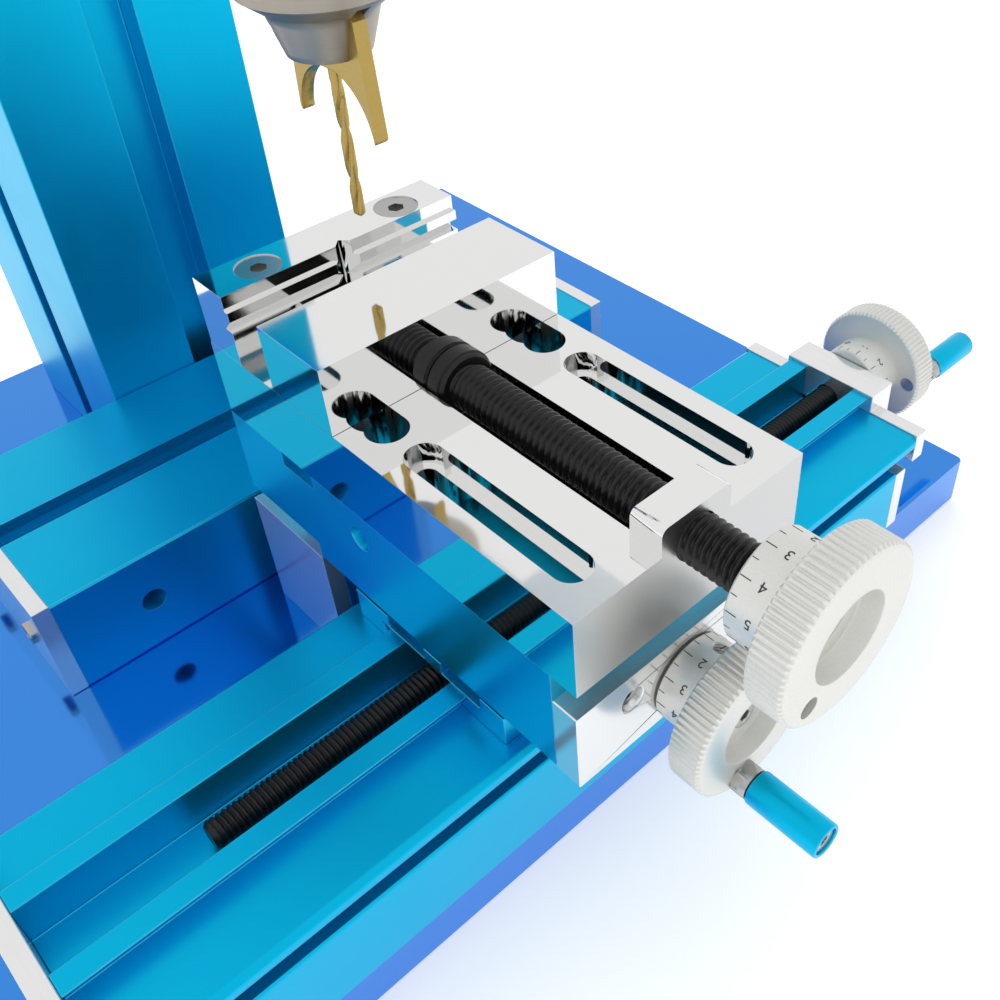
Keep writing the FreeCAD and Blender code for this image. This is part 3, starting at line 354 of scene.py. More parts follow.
def make_finishes(colours):
    """All materials, by their slot names, with a few more for details."""
    blue, silver, nickel = tuple(colours.blue), tuple(colours.silver), tuple(colours.nickel)
    steel_grain, rubber_grain = (1600, 1600, 1600), (1800, 1800, 1800)
    plate_relief, plate_grain = (0.03, 0.00001), (300, 1800, 1800)
    made = {
        "violet_plate": finish_material(
            "violet_plate", tuple(colours.violet), 0.97, (0.08, 0.11), (900, 900, 900), (0.04, 0.00001),
            # The lighter violet on the edges is a painted edge highlight.
            coat=0.1, tone=0.97, edge_highlight=((0.20, 0.30, 0.75), 0.0007, 0.6)),
        "vice_body": finish_material(
            "vice_body", nickel, 1.0, (0.03, 0.08), plate_grain, plate_relief, tone=0.985,
            dull_face=((0, -1, 0), 0.30, 0.70)),
    }
    # Blue anodising, with its drawn lines along the piece.
    drawn = {
        "blue_anodised": (30, 2600, 2600), "blue_upright": (2600, 2600, 30), "blue_table": (2600, 30, 2600)}
    for name, grain in drawn.items():
        made[name] = finish_material(
            name, blue, 0.90, (0.32, 0.38), grain, (0.06, 0.00001),
            # The pale blue on the edges is a painted edge highlight.
            tone=0.96, edge_highlight=((0.45, 0.72, 0.86), 0.0004, 0.7))
    # Name, colour, metallic, roughness low and high, stretch of the grain, relief, tone.
    plain = (
        ("polished_plate", nickel, 0.85, (0.15, 0.25), (1500, 60, 1500), (0.10, 0.00001), 0.97),
        ("mirror_steel", nickel, 1.0, (0.03, 0.07), plate_grain, plate_relief, 0.985),
        ("matte_silver", silver, 0.75, (0.42, 0.55), (2400, 2400, 2400), (0.35, 0.00006), 0.90),
        ("turned_steel", (0.40, 0.36, 0.31), 1.0, (0.38, 0.46), (120, 120, 5000), (0.20, 0.00003), 0.9),
        ("black_steel", tuple(colours.black), 0.4, (0.28, 0.45), (2200, 2200, 2200), (0.20, 0.00003), 0.7),
        ("bright_steel", (0.46, 0.46, 0.45), 1.0, (0.22, 0.32), steel_grain, (0.12, 0.00002), 0.92),
        ("gold_coating", tuple(colours.gold), 1.0, (0.24, 0.36), (900, 900, 3200), (0.18, 0.00002), 0.90),
        ("bronze", (0.42, 0.27, 0.11), 1.0, (0.28, 0.40), (1500, 1500, 1500), (0.15, 0.00002), 0.9),
        ("motor_shell", (0.030, 0.031, 0.034), 0.1, (0.38, 0.5), (1400, 1400, 1400), (0.25, 0.00003), 0.9),
        ("belt_rubber", (0.016, 0.016, 0.016), 0.0, (0.7, 0.85), rubber_grain, (0.4, 0.00005), 0.8),
        ("mark_ink", (0.045, 0.045, 0.045), 0.0, (0.55, 0.7), rubber_grain, (0.1, 0.00001), 0.8),
    )
    for name, colour, metallic, rough, grain, bump, tone in plain:
        made[name] = finish_material(name, colour, metallic, rough, grain, bump, tone=tone)
    return made


FINISHES = {}


def finish(name):
    """A material of the machine, made with the others on first use."""
    if not FINISHES:
        FINISHES.update(make_finishes(bpy.context.scene.mill_finish))
    return FINISHES[name]


# ------------------------------------------------------------------ shapes in millimetres
class Shell:
    """Vertices and faces of one piece, gathered from several shapes."""

    def __init__(self):
        self.verts = []
        self.faces = []
        self.marks = []

    def add(self, shape, mark=0):
        """Join a (vertices, faces) shape on, with material slot number mark."""
        first = len(self.verts)
        verts, faces = shape
        self.verts += verts
        self.faces += [tuple(first + corner for corner in face) for face in faces]
        self.marks += [mark] * len(faces)


def turned(profile, segments=64, closed=False):
    """Turn a profile about z. Each point is (radius, z) or (radius, z, shape), shape(radius, angle)."""
    verts = []
    rows = []
    for radius, z, *shape in profile:
        first = len(verts)
        if radius < 1e-6:
            verts.append((0.0, 0.0, z))
            rows.append([first] * segments)
            continue
        for step in range(segments):
            angle = TAU * step / segments
            reach = shape[0](radius, angle) if shape else radius
            verts.append((reach * math.cos(angle), reach * math.sin(angle), z))
        rows.append(list(range(first, first + segments)))
    faces = []
    pairs = list(zip(rows, rows[1:]))
    if closed:
        pairs.append((rows[-1], rows[0]))
    for low, high in pairs:
        for step in range(segments):
            after = (step + 1) % segments
            corners = list(dict.fromkeys((low[step], low[after], high[after], high[step])))
            if len(corners) > 2:
                faces.append(tuple(corners))
    return verts, faces


def hexed(corner):
    """Shape of a hexagon: no point lies beyond its flats."""
    flat = corner * math.cos(math.pi / 6)

    def limit(radius, angle):
        turn = angle % (TAU / 6) - TAU / 12
        return min(radius, flat / math.cos(turn))
    return limit


def fluted(count, depth):
    """Shape of a rim with straight grip grooves."""
    def limit(radius, angle):
        place = abs((angle * count / TAU) % 1 - 0.5)
        rise = min(1.0, max(0.0, (place - 0.16) / 0.14))
        return radius - depth * (1 - rise)
    return limit


def ridge(z, pitch, depth):
    """Shape of a thread at height z: a right-hand ridge with narrow flats."""
    def limit(radius, angle):
        place = abs((z / pitch - angle / TAU) % 1 - 0.5) * 2
        return radius - depth * min(1.0, max(0.0, (place - 0.22) / 0.62))
    return limit


def thread_rows(radius, depth, pitch, low, high, per_turn):
    """Profile points of a thread that fades out at both ends."""
    rows = []
    count = int((high - low) / pitch * per_turn)
    for step in range(count + 1):
        z = low + (high - low) * step / count
        fade = min(1.0, (z - low) / pitch, (high - z) / pitch)
        rows.append((radius, z, ridge(z, pitch, depth * fade)))
    return rows


def socket_head(radius, low, high, corner, deep):
    """A round screw head with a hexagonal socket in its top."""
    edge = min(0.5, radius * 0.12)
    well = hexed(corner)
    return turned([
        (0, low), (radius, low), (radius, high - edge), (radius - edge * 0.3, high - edge * 0.3),
        (radius - edge, high), (corner * 1.06, high), (corner, high - 0.2, well),
        (corner, high - deep, well), (0, high - deep - corner * 0.25)], 48)


def bolt_along(shape, way, place, shell):
    """Add a shape turned along z to a shell, laid along another axis at a place."""
    verts, faces = shape
    moved = [tuple(way @ Vector(point) + Vector(place)) for point in verts]
    shell.add((moved, faces))


def piece(name, shell, way, origin, finishes, body, replaces=(), smooth=35):
    mesh = bpy.data.meshes.new(name)
    base = Vector(origin)
    points = [(way @ Vector(point)) * MM + base for point in shell.verts]
    mesh.from_pydata([tuple(point) for point in points], [], shell.faces)
    for material in finishes:
        mesh.materials.append(finish(material))
    mesh.polygons.foreach_set("material_index", shell.marks)
    tidy = bmesh.new()
    tidy.from_mesh(mesh)
    bmesh.ops.remove_doubles(tidy, verts=tidy.verts, dist=1e-7)
    bmesh.ops.recalc_face_normals(tidy, faces=tidy.faces)
    tidy.to_mesh(mesh)
    tidy.free()
    mesh.polygons.foreach_set("use_smooth", [True] * len(mesh.polygons))
    mesh.set_sharp_from_angle(angle=math.radians(smooth))
    thing = bpy.data.objects.new(name, mesh)
    bpy.context.scene.collection.objects.link(thing)
    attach(thing, body)
    if replaces:
        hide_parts(*replaces)
    return thing


def cut_away(thing, shape, way, origin):
    """Cut a shape out of a piece and apply the cut."""
    tool_mesh = bpy.data.meshes.new("cutter")
    base = Vector(origin)
    tool_mesh.from_pydata([tuple((way @ Vector(point)) * MM + base) for point in shape[0]], [], shape[1])
    tool = bpy.data.objects.new("cutter", tool_mesh)
    bpy.context.scene.collection.objects.link(tool)
    cut = thing.modifiers.new("cut", "BOOLEAN")
    cut.operation = "DIFFERENCE"
    cut.solver = "EXACT"
    cut.object = tool
    bpy.context.view_layer.update()
    result = bpy.data.meshes.new_from_object(thing.evaluated_get(bpy.context.evaluated_depsgraph_get()))
    thing.modifiers.remove(cut)
    old = thing.data
    thing.data = result
    result.name = old.name
    bpy.data.meshes.remove(old)
    bpy.data.objects.remove(tool)
    bpy.data.meshes.remove(tool_mesh)
    result.set_sharp_from_angle(angle=math.radians(35))


def dress(nodes, material, edge=None):
    """Give CAD nodes their finish, and break their sharp edges where edge is set."""
    for name in nodes:
        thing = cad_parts[name]
        for place in thing.material_slots:
            place.material = finish(material)
        if edge:
            weld = thing.modifiers.new("weld", "WELD")
            weld.merge_threshold = 0.000002
            soften = thing.modifiers.new("edges", "BEVEL")
            soften.width = edge
            soften.segments = 2
            soften.limit_method = "ANGLE"
            soften.angle_limit = math.radians(38)
            soften.use_clamp_overlap = True
            soften.harden_normals = True
            soften.miter_outer = "MITER_ARC"


def span(name):
    """Low and high corner of a node, and its middle, as vectors in metres."""
    low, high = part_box(name)
    low, high = Vector(low), Vector(high)
    return low, high, (low + high) / 2


def start_of(name, way):
    """The point on a node's axis at the end where its own z starts."""
    low, high, middle = span(name)
    axis = way @ Vector((0, 0, 1))
    reach = abs(axis.dot(high - low)) / 2
    return middle - axis * reach, reach * 2 / MM


# ------------------------------------------------------------------ operators
class MILL_OT_stage(bpy.types.Operator):
    """Set up the floor, the light and the camera"""
    bl_idname = "mill.stage"
    bl_label = "Stage"

    def execute(self, context):
        scene = context.scene
        studio = scene.mill_studio
        floor_mesh = bpy.data.meshes.new("floor")
        half = 6.0
        floor_mesh.from_pydata([(-half, -half, 0), (half, -half, 0), (half, half, 0), (-half, half, 0)],
                               [], [(0, 1, 2, 3)])
        floor = bpy.data.objects.new("floor", floor_mesh)
        paint = bpy.data.materials.new("floor")
        paint.use_nodes = True
        shader = paint.node_tree.nodes["Principled BSDF"]
        shader.inputs["Base Color"].default_value = (0.92, 0.92, 0.92, 1)
        shader.inputs["Roughness"].default_value = 0.9
        shader.inputs["Emission Color"].default_value = (1, 1, 1, 1)
        shader.inputs["Emission Strength"].default_value = studio.floor_glow
        floor_mesh.materials.append(paint)
        scene.collection.objects.link(floor)
        world = bpy.data.worlds.new("studio")
        world.use_nodes = True
        sky = world.node_tree.nodes["Background"]
        sky.inputs["Color"].default_value = (1, 1, 1, 1)
        sky.inputs["Strength"].default_value = studio.sky
        scene.world = world
        lamps = (
            ("key", studio.key, 0.9, (0.35, 0.55, 1.0)), ("fill", studio.fill, 0.7, (-0.7, -0.6, 0.8)))
        for name, power, size, place in lamps:
            data = bpy.data.lights.new(name, "AREA")
            data.energy = power
            data.size = size
            lamp = bpy.data.objects.new(name, data)
            lamp.location = place
            lamp.rotation_euler = (-Vector(place)).to_track_quat("-Z", "Y").to_euler()
            lamp.visible_glossy = False
            scene.collection.objects.link(lamp)
        camera_data = bpy.data.cameras.new("camera")
        camera_data.lens = studio.lens
        camera_data.sensor_width = 36
        camera_data.shift_x = studio.shift_x
        camera_data.shift_y = studio.shift_y
        camera_data.clip_start = 0.01
        camera = bpy.data.objects.new("camera", camera_data)
        around, above, roll = studio.azimuth, studio.elevation, studio.roll
        level_part = math.cos(above)
        back = Vector((math.sin(around) * level_part, -math.cos(around) * level_part, math.sin(above)))
        level = Vector((math.cos(around), math.sin(around), 0))
        upright = back.cross(level)
        right = level * math.cos(roll) + upright * math.sin(roll)
        up = back.cross(right)
        turn = Matrix((right, up, back)).transposed()
        camera.matrix_world = Matrix.Translation(Vector(studio.place)) @ turn.to_4x4()
        scene.collection.objects.link(camera)
        scene.camera = camera
        scene.view_settings.view_transform = "Standard"
        return {"FINISHED"}


class MILL_OT_base(bpy.types.Operator):
    """Finish the base plate"""
    bl_idname = "mill.base"
    bl_label = "Base plate"

    def execute(self, context):
        dress(["base_plate"], "violet_plate")
        return {"FINISHED"}


class MILL_OT_extrusions(bpy.types.Operator):
    """Finish the beds, the rails and the column"""
    bl_idname = "mill.extrusions"
    bl_label = "Beds, rails and column"

    def execute(self, context):
        edge = context.scene.mill_sizes.edge
        dress(["front_bed", "rear_bed", "centre_bed", "x_rail"], "blue_anodised", edge)
        dress(["column", "z_rail"], "blue_upright", edge)
        return {"FINISHED"}


class MILL_OT_end_plates(bpy.types.Operator):
    """Finish the polished end plates and the column's cap"""
    bl_idname = "mill.end_plates"
    bl_label = "End plates"

    def execute(self, context):
        edge = context.scene.mill_sizes.edge
        dress(["front_bed_end_plates", "rear_bed_end_plates", "centre_bed_end_plates", "x_rail_left_plate",
               "x_rail_right_plate", "column_cap", "z_rail_plates", "y_end_plate"], "polished_plate", edge)
        return {"FINISHED"}


class MILL_OT_slides(bpy.types.Operator):
    """Finish the saddle, the table, the head's slide, their gibs and their nuts"""
    bl_idname = "mill.slides"
    bl_label = "Slides"

    def execute(self, context):
        edge = context.scene.mill_sizes.edge
        dress(["saddle", "x_gib"], "blue_anodised", edge)
        dress(["table", "y_gib"], "blue_table", edge)
        dress(["z_carriage", "head_spacer"], "blue_upright", edge)
        dress(["x_nut", "y_nut", "z_nut"], "bronze")
        return {"FINISHED"}


class MILL_OT_vice(bpy.types.Operator):
    """Finish the vice body and its two jaws"""
    bl_idname = "mill.vice"
    bl_label = "Vice"

    def execute(self, context):
        edge = context.scene.mill_sizes.edge
        dress(["vice_base"], "vice_body", edge)
        dress(["fixed_jaw", "moving_jaw"], "mirror_steel", edge)
        return {"FINISHED"}


class MILL_OT_leadscrews(bpy.types.Operator):
    """Build the three black leadscrews with their threads and end screws"""
    bl_idname = "mill.leadscrews"
    bl_label = "Leadscrews"

    def execute(self, context):
        pitch = context.scene.mill_sizes.feed_pitch / MM
        plain, thread_deep, end_high = 9, 0.55, 2.2
        for unit in ("x", "y", "z"):
            facts = HAND_UNITS[unit]
            node = f"{unit}_leadscrew"
            start, length = start_of(node, facts["way"])
            plate, _ = start_of(f"{unit}_dial", facts["way"])
            plain_from = (plate - start).length / MM - plain
            radius = FEED_STEM
            shell = Shell()
            rows = [(0, 0), (radius - 0.9, 0), (radius - 0.05, 0.9)]
            rows += thread_rows(radius, thread_deep, pitch, 1.0, plain_from, 8)
            rows += [(radius, plain_from + 0.3), (radius, length - end_high), (0, length - end_high)]
            shell.add(turned(rows, 28))
            shell.add(socket_head(3.5, length - 2.3, length, 1.6, 1.5), mark=1)
            piece(f"{unit}_thread", shell, facts["way"], start, ["black_steel", "bright_steel"],
                  facts["body"], [node])
        return {"FINISHED"}


class MILL_OT_vice_screw(bpy.types.Operator):
    """Build the vice screw and the collar that holds it in the moving jaw"""
    bl_idname = "mill.vice_screw"
    bl_label = "Vice screw"

    def execute(self, context):
        pitch = context.scene.mill_sizes.vice_pitch / MM
        way = HAND_UNITS["vice"]["way"]
        start, length = start_of("vice_screw", way)
        collar, collar_long = start_of("vice_collar", way)
        plate, _ = start_of("vice_dial", way)
        journal_end = (collar - start).length / MM
        thread_end = (plate - start).length / MM - 1
        journal, thread, thread_deep, hub = FEED_STEM, VICE_STEM, 0.85, VICE_STEM - 0.05
        plain_end = thread_end + 4
        shell = Shell()
        rows = [(0, 0), (journal - 0.5, 0), (journal, 0.5), (journal, journal_end + 0.2)]
        rows += thread_rows(thread, thread_deep, pitch, journal_end + 0.3, thread_end, 10)
        rows += [(thread, thread_end + 0.2), (thread, plain_end), (0, plain_end)]
        shell.add(turned(rows, 40))
        hub_end = length - 0.1
        shell.add(turned([(0, plain_end), (hub, plain_end), (hub, hub_end), (0, hub_end)], 64), mark=1)
        piece("vice_thread", shell, way, start, ["black_steel", "matte_silver"],
              "vice_screw_set", ["vice_screw"])
        ring = Shell()
        radius = COLLAR
        ring.add(turned([
            (journal, 0), (radius - 0.6, 0), (radius, 0.6), (radius, collar_long - 1.6),
            (radius - 0.4, collar_long - 1.4), (radius - 0.4, collar_long - 0.6),
            (radius - 1, collar_long), (journal, collar_long)], 64, closed=True))
        piece("vice_screw_collar", ring, way, collar, ["black_steel"],
              "vice_screw_set", ["vice_collar"])
        return {"FINISHED"}


def digit_shape(text, size):
    """Flat digit with a little thickness, in millimetres, centred across and standing on its base line."""
    curve = bpy.data.curves.new("digit", "FONT")
    curve.body = text
    curve.size = size
    curve.extrude = 0.04
    curve.resolution_u = 3
    curve.align_x = "CENTER"
    holder = bpy.data.objects.new("digit", curve)
    bpy.context.scene.collection.objects.link(holder)
    bpy.context.view_layer.update()
    mesh = bpy.data.meshes.new_from_object(holder.evaluated_get(bpy.context.evaluated_depsgraph_get()))
    shape = ([tuple(point.co) for point in mesh.vertices], [tuple(face.vertices) for face in mesh.polygons])
    bpy.data.objects.remove(holder)
    bpy.data.meshes.remove(mesh)
    bpy.data.curves.remove(curve)
    return shape


def wrapped(shape, radius, angle, z):
    """Bend a flat shape round a sleeve; its own up points towards the sleeve's start."""
    verts = []
    for x, y, lift in shape[0]:
        turn = angle - x / radius
        reach = radius + 0.01 + lift
        verts.append((reach * math.cos(turn), reach * math.sin(turn), z - y))
    return verts, shape[1]


def sideways(shape, high):
    """Turn a flat digit so that its top points along the scale, and centre it."""
    return [(high / 2 - y, x + high / 2, lift) for x, y, lift in shape[0]], shape[1]


def line_shape(width, length):
    """A thin engraved line, standing along the sleeve."""
    half = width / 2
    verts = [(x, y, z) for x in (-half, half) for y in (0, length) for z in (-0.04, 0.04)]
    faces = [(0, 1, 3, 2), (4, 6, 7, 5), (0, 4, 5, 1), (2, 3, 7, 6), (0, 2, 6, 4), (1, 5, 7, 3)]
    return verts, faces


class MILL_OT_dials(bpy.types.Operator):
    """Build the graduated dials with their lines and digits"""
    bl_idname = "mill.dials"
    bl_label = "Dials"

    def execute(self, context):
        lines = context.scene.mill_sizes.dial_lines
        digit_size, digit_high = 3.4, 2.4
        digits = [sideways(digit_shape(str(number), digit_size), digit_high) for number in range(10)]
        for unit, facts in HAND_UNITS.items():
            node = f"{unit}_dial"
            way = facts["way"]
            start, length = start_of(node, way)
            low, high, _ = span(node)
            radius = max(high - low) / 2 / MM if unit == "vice" else sorted(high - low)[1] / 2 / MM
            stem = facts["stem"]
            shell = Shell()
            shell.add(turned([
                (stem, 0), (radius - 0.5, 0), (radius, 0.5), (radius, length - 2.4),
                (radius - 0.5, length - 2.0), (radius - 0.5, length), (stem, length)], 96, closed=True))
            made = piece(f"{unit}_dial_sleeve", shell, way, start, ["matte_silver", "mark_ink"],
                         facts["body"], [node])
            if unit == "y":
                hole_radius, thread_deep, half_turn = 2.4, 0.35, 0.4
                turns = [(hole_radius - thread_deep * (step % 2), half_turn * step) for step in range(20)]
                hole = turned([(0, 0), *turns, (hole_radius, 8), (0, 8)], 32)
                lean = math.radians(70)
                aim = way @ Vector((math.cos(lean), math.sin(lean), 0))
                tilt = Vector((0, 0, 1)).rotation_difference(aim).to_matrix()
                middle = start + way @ Vector((0, 0, length * 0.55)) * MM
                cut_away(made, hole, tilt, middle + aim * (radius - 4) * MM)
            marks = Shell()
            for step in range(lines):
                angle = math.radians(facts["marks_from"]) + TAU * step / lines
                if step % 2 == 0:
                    marks.add(wrapped(line_shape(0.22, 2.6), radius, angle, 3.2))
                    number = (step // 2) % 10
                    marks.add(wrapped(digits[number], radius, angle, 7.2))
                else:
                    marks.add(wrapped(line_shape(0.18, 1.5), radius, angle, 2.1))
            piece(f"{unit}_dial_marks", marks, way, start, ["mark_ink"], facts["body"])
        return {"FINISHED"}


class MILL_OT_handwheels(bpy.types.Operator):
    """Build the handwheels with grooved rims"""
    bl_idname = "mill.handwheels"
    bl_label = "Handwheels"

    def execute(self, context):
        sizes = context.scene.mill_sizes
        shape = fluted(sizes.flutes, sizes.flute_deep / MM)
        for unit, facts in HAND_UNITS.items():
            node = f"{unit}_handwheel"
            way = facts["way"]
            start, thick = start_of(node, way)
            low, high, _ = span(node)
            rim = max(high - low) / 2 / MM
            stem = facts["stem"]
            recess, floor = HUB_RECESS, thick - HUB_DEEP
            shell = Shell()
            shell.add(turned([
                (stem, 0), (rim - 1.6, 0), (rim - 0.8, 0.25), (rim, 0.9, shape), (rim, thick - 0.9, shape),
                (rim - 0.8, thick - 0.25), (rim - 1.6, thick), (recess + 0.5, thick),
                (recess + 0.12, thick - 0.14), (recess, thick - 0.5), (recess, floor + 0.8),
                (recess - 0.25, floor + 0.25), (recess - 0.8, floor), (stem, floor)],
                sizes.flutes * 8, closed=True))
            wheel = piece(f"{unit}_wheel", shell, way, start, ["matte_silver"],
                          facts["body"], [node], smooth=28)
            angle = math.radians(facts["arm"])
            place = Vector((HANDLE_ARM * math.cos(angle), HANDLE_ARM * math.sin(angle), -1))
            bore = turned([(0, 0), (STUD, 0), (STUD, thick + 2), (0, thick + 2)], 32)
            cut_away(wheel, bore, way, start + way @ place * MM)
        return {"FINISHED"}


class MILL_OT_handles(bpy.types.Operator):
    """Build the turning handles with their studs and nuts"""
    bl_idname = "mill.handles"
    bl_label = "Handles"

    def execute(self, context):
        for unit in ("x", "y", "z"):
            facts = HAND_UNITS[unit]
            way = facts["way"]
            start, length = start_of(f"{unit}_handle", way)
            grip = Shell()
            grip.add(turned([
                (GRIP_BORE, 0), (GRIP - 0.75, 0), (GRIP - 0.15, 0.35), (GRIP, 0.9), (GRIP, length - 0.5),
                (GRIP - 0.15, length - 0.12), (GRIP - 0.35, length), (GRIP_RECESS + 0.3, length),
                (GRIP_RECESS + 0.05, length - 0.2), (GRIP_RECESS, length - 0.6), (GRIP_RECESS, length - 2),
                (GRIP_BORE, length - 2)], 64, closed=True))
            piece(f"{unit}_grip_sleeve", grip, way, start, ["blue_upright"], facts["grip"],
                  [f"{unit}_handle"])
            stud = Shell()
            six = hexed(NUT_CORNER)
            nut_flat = 4.0
            nut_low, nut_high = -GRIP_GAP - NUT_HIGH, -GRIP_GAP
            cap_low, cap_high = length - 1.8, length - 0.6
            stud.add(turned([
                (0, nut_low), (nut_flat, nut_low), (NUT_CORNER, nut_low + 0.35, six),
                (NUT_CORNER, nut_high - 0.5, six), (nut_flat, nut_high), (STUD, nut_high),
                (STUD, cap_low), (0, cap_low)], 72))
            inner, top = nut_low - WHEEL_THICK + 0.1, nut_low + 0.1
            stud.add(turned([(0, inner), (STUD, inner), (STUD, top), (0, top)], 32))
            stud.add(socket_head(3.3, cap_low, cap_high, 1.4, 0.7))
            piece(f"{unit}_stud_and_nut", stud, way, start, ["bright_steel"], facts["body"],
                  [f"{unit}_handle_stud"])
        return {"FINISHED"}


class MILL_OT_fasteners(bpy.types.Operator):
    """Finish the screws of the vice jaw and plates, and build the end plates' button heads"""
    bl_idname = "mill.fasteners"
    bl_label = "Fasteners"

    def execute(self, context):
        dress(["fixed_jaw_screws", "y_plate_screws"], "bright_steel")
        heads = Shell()
        for plate, radius, spread in (("rear_bed_end_plates", 3.5, 24), ("x_rail_left_plate", 3.0, 25)):
            low, high, middle = span(plate)
            if plate == "x_rail_left_plate":
                right_low, _, _ = span("x_rail_right_plate")
                face_right = right_low.x / MM + PLATE_THICK
                level = low.z / MM + BUTTON_LEVEL
            else:
                face_right = high.x / MM
                level = span("rear_bed")[2].z / MM
            for y in (middle.y / MM - spread, middle.y / MM + spread):
                for face, way in ((face_right, ALONG_X), (low.x / MM, ALONG_X @ ALONG_DOWN)):
                    head = socket_head(radius, 0, BUTTON_HIGH, 1.5, 1.0)
                    bolt_along(head, way, (face, y, level), heads)
        piece("end_plate_button_heads", heads, ALONG_Z, (0, 0, 0), ["bright_steel"], "frame",
              ["end_plate_screws"])
        return {"FINISHED"}


class MILL_OT_chuck(bpy.types.Operator):
    """Finish the chuck and the spindle"""
    bl_idname = "mill.chuck"
    bl_label = "Chuck and spindle"

    def execute(self, context):
        dress(["chuck"], "turned_steel", context.scene.mill_sizes.edge)
        dress(["spindle"], "bright_steel")
        return {"FINISHED"}


class MILL_OT_cutter(bpy.types.Operator):
    """Finish the profile cutter and build its twist drill"""
    bl_idname = "mill.cutter"
    bl_label = "Cutter and drill"

    def execute(self, context):
        dress(["profile_cutter"], "gold_coating", context.scene.mill_sizes.edge * 0.6)
        start, length = start_of("centre_drill", ALONG_Z)
        pitch = context.scene.mill_sizes.drill_pitch / MM
        flute_top, flute_deep, fade_long = 34.0, 0.62, 6

        def flute(z, depth):
            def limit(radius, angle):
                wave = math.cos(2 * (angle - TAU * z / pitch))
                return radius * (1 - depth * max(0.0, wave) ** 0.7)
            return limit
        rows = [(0, 0)]
        steps = 90
        for step in range(1, steps + 1):
            z = flute_top * step / steps
            fade = min(1.0, (flute_top - z) / fade_long)
            radius = DRILL * min(1.0, 0.15 + z / 1.1)
            rows.append((radius, z, flute(z, flute_deep * fade)))
        rows += [(DRILL, length), (0, length)]
        shell = Shell()
        shell.add(turned(rows, 40))
        piece("twist_drill", shell, ALONG_Z, start, ["gold_coating"], "spindle_set",
              ["centre_drill"])
        return {"FINISHED"}


class MILL_OT_head(bpy.types.Operator):
    """Finish the headstock and build its toothed pulleys"""
    bl_idname = "mill.head"
    bl_label = "Headstock and pulleys"

    def execute(self, context):
        dress(["headstock"], "matte_silver", context.scene.mill_sizes.edge * 2)
        start, high = start_of("spindle_pulley", ALONG_Z)
        tooth_deep = 0.5
        big, small = BIG_PULLEY, SMALL_PULLEY
        teeth = fluted(60, tooth_deep)
        shell = Shell()
        shell.add(turned([
            (3, 0), (big - 0.4, 0), (big, 0.3), (big, 1.0), (big - 0.1, 1.2, teeth),
            (big - 0.1, high - 1.2, teeth), (big, high - 1.0), (big, high - 0.3), (big - 0.4, high),
            (14, high), (13.5, high - 0.4), (13.5, high - 2), (8, high - 2), (7.5, high - 1.6),
            (7.5, high), (3, high)], 480, closed=True))
        piece("spindle_toothed_pulley", shell, ALONG_Z, start, ["matte_silver"], "spindle_set",
              ["spindle_pulley"])
        rotor_start, rotor_long = start_of("motor_rotor", ALONG_Z)
        pulley_low = (start.z - rotor_start.z) / MM
        pulley_high = pulley_low + high
        small_teeth = fluted(30, tooth_deep)
        rotor = Shell()
        rotor.add(turned([
            (0, 0), (STUD, 0), (STUD, pulley_low), (small - 0.4, pulley_low), (small, pulley_low + 0.3),
            (small, pulley_low + 1), (small - 0.1, pulley_low + 1.2, small_teeth),
            (small - 0.1, pulley_high - 1.2, small_teeth), (small, pulley_high - 1),
            (small, pulley_high - 0.3), (small - 0.4, pulley_high), (STUD, pulley_high),
            (STUD, rotor_long - 0.4), (STUD - 0.4, rotor_long), (0, rotor_long)], 240))
        piece("motor_shaft_and_pulley", rotor, ALONG_Z, rotor_start, ["matte_silver"], "rotor_set",
              ["motor_rotor"])
        return {"FINISHED"}


class MILL_OT_motor(bpy.types.Operator):
    """Build the motor with its end caps and vents"""
    bl_idname = "mill.motor"
    bl_label = "Motor"

    def execute(self, context):
        start, length = start_of("motor", ALONG_DOWN)
        radius, vent_count, vent_deep, bore = MOTOR, 12, 1.4, 2.6

        def vents(reach, angle):
            inside = abs((angle * vent_count / TAU) % 1 - 0.5) < 0.2
            return reach - (vent_deep if inside else 0)
        shell = Shell()
        shell.add(turned([
            (0, 0.8), (6, 0.8), (6.4, 0), (radius - 1.5, 0), (radius, 1.5), (radius, 4),
            (radius, 4.2, vents), (radius, 12, vents), (radius, 12.2), (radius, 15),
            (radius - 0.8, 15.4), (radius - 0.8, 16.2), (radius, 16.6), (radius, length - 15),
            (radius - 0.8, length - 14.6), (radius - 0.8, length - 13.8), (radius, length - 13.4),
            (radius, length - 0.6), (radius - 0.6, length), (bore, length), (bore, length - 10),
            (0, length - 10)], 240))
        piece("motor_housing", shell, ALONG_DOWN, start, ["motor_shell"], "head_set",
              ["motor"])
        return {"FINISHED"}


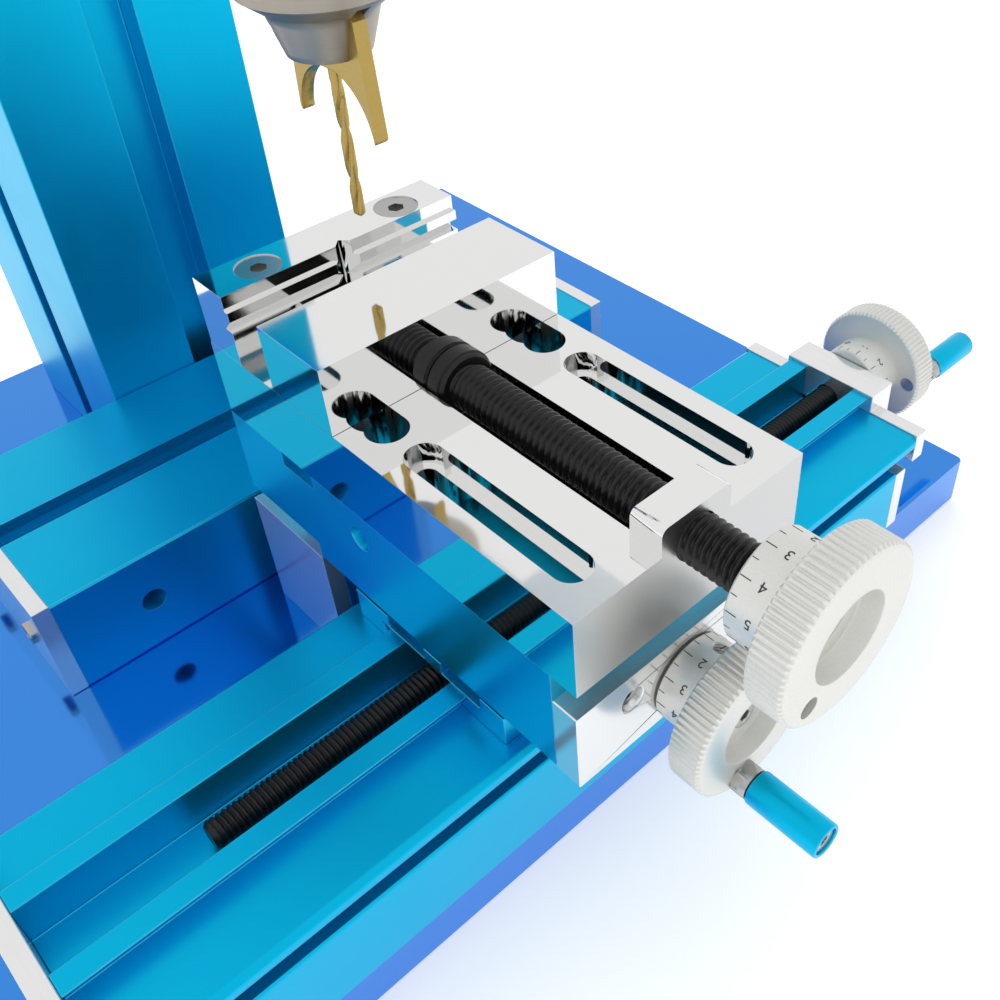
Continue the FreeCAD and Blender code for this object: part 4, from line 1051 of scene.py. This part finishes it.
class MILL_OT_belt(bpy.types.Operator):
    """Build the toothed drive belt"""
    bl_idname = "mill.belt"
    bl_label = "Drive belt"

    def execute(self, context):
        low, high, _ = span("drive_belt")
        reach = span("motor_rotor")[2].x / MM
        big, small, thick = BIG_PULLEY + BELT_GAP, SMALL_PULLEY + BELT_GAP, BELT_THICK
        big_steps, small_steps, run_steps, tooth_deep = 120, 50, 60, 0.45
        lean = math.acos((big - small) / reach)
        path = []
        arcs = ((0.0, big, lean, TAU - lean, big_steps), (reach, small, -lean, lean, small_steps))
        for centre, radius, first, last, count in arcs:
            for step in range(count + 1):
                angle = first + (last - first) * step / count
                path.append((centre, radius, angle))
        dense = []
        for index, (centre, radius, angle) in enumerate(path):
            dense.append((centre + radius * math.cos(angle), radius * math.sin(angle), angle))
            if index in (big_steps, len(path) - 1):
                after = path[(index + 1) % len(path)]
                x0, y0 = dense[-1][:2]
                x1 = after[0] + after[1] * math.cos(after[2])
                y1 = after[1] * math.sin(after[2])
                for part in range(1, run_steps):
                    share = part / run_steps
                    dense.append((x0 + (x1 - x0) * share, y0 + (y1 - y0) * share, angle))
        height = (high.z - low.z) / MM
        verts = []
        for index, (x, y, angle) in enumerate(dense):
            tooth = tooth_deep if index % 4 < 2 else 0.0
            for offset, z in ((tooth, 0.2), (thick - 0.2, 0), (thick, 0.3), (thick, height - 0.3),
                              (thick - 0.2, height), (tooth, height - 0.2)):
                verts.append((x + offset * math.cos(angle), y + offset * math.sin(angle), z))
        faces = []
        count = len(dense)
        for index in range(count):
            after = (index + 1) % count
            for side in range(6):
                nxt = (side + 1) % 6
                faces.append((index * 6 + side, after * 6 + side, after * 6 + nxt, index * 6 + nxt))
        shell = Shell()
        shell.add((verts, faces))
        piece("toothed_belt", shell, ALONG_Z, (0, 0, low.z), ["belt_rubber"], "head_set",
              ["drive_belt"])
        return {"FINISHED"}


STEPS = (
    MILL_OT_stage, MILL_OT_base, MILL_OT_extrusions, MILL_OT_end_plates, MILL_OT_slides, MILL_OT_vice,
    MILL_OT_leadscrews, MILL_OT_vice_screw, MILL_OT_dials, MILL_OT_handwheels, MILL_OT_handles,
    MILL_OT_fasteners, MILL_OT_chuck, MILL_OT_cutter, MILL_OT_head, MILL_OT_motor, MILL_OT_belt,
)


class MILL_PT_panel(bpy.types.Panel):
    """Building steps and settings of the milling machine"""
    bl_label = "Milling machine"
    bl_idname = "MILL_PT_panel"
    bl_space_type = "VIEW_3D"
    bl_region_type = "UI"
    bl_category = "Mill"

    def draw(self, context):
        column = self.layout.column()
        for step in STEPS:
            column.operator(step.bl_idname)
        for settings in (context.scene.mill_finish, context.scene.mill_sizes, context.scene.mill_studio):
            for label in settings.__annotations__:
                column.prop(settings, label)


SETTINGS = {"mill_finish": MillFinish, "mill_sizes": MillSizes, "mill_studio": MillStudio}
CLASSES = (*SETTINGS.values(), *STEPS, MILL_PT_panel)


def register():
    for item in CLASSES:
        bpy.utils.register_class(item)
    for name, item in SETTINGS.items():
        setattr(bpy.types.Scene, name, PointerProperty(type=item))


def unregister():
    for name in SETTINGS:
        delattr(bpy.types.Scene, name)
    for item in reversed(CLASSES):
        bpy.utils.unregister_class(item)


def main():
    register()
    for step in STEPS:
        getattr(bpy.ops.mill, step.bl_idname.split(".")[1])()


if __name__ == "__main__":
    main()
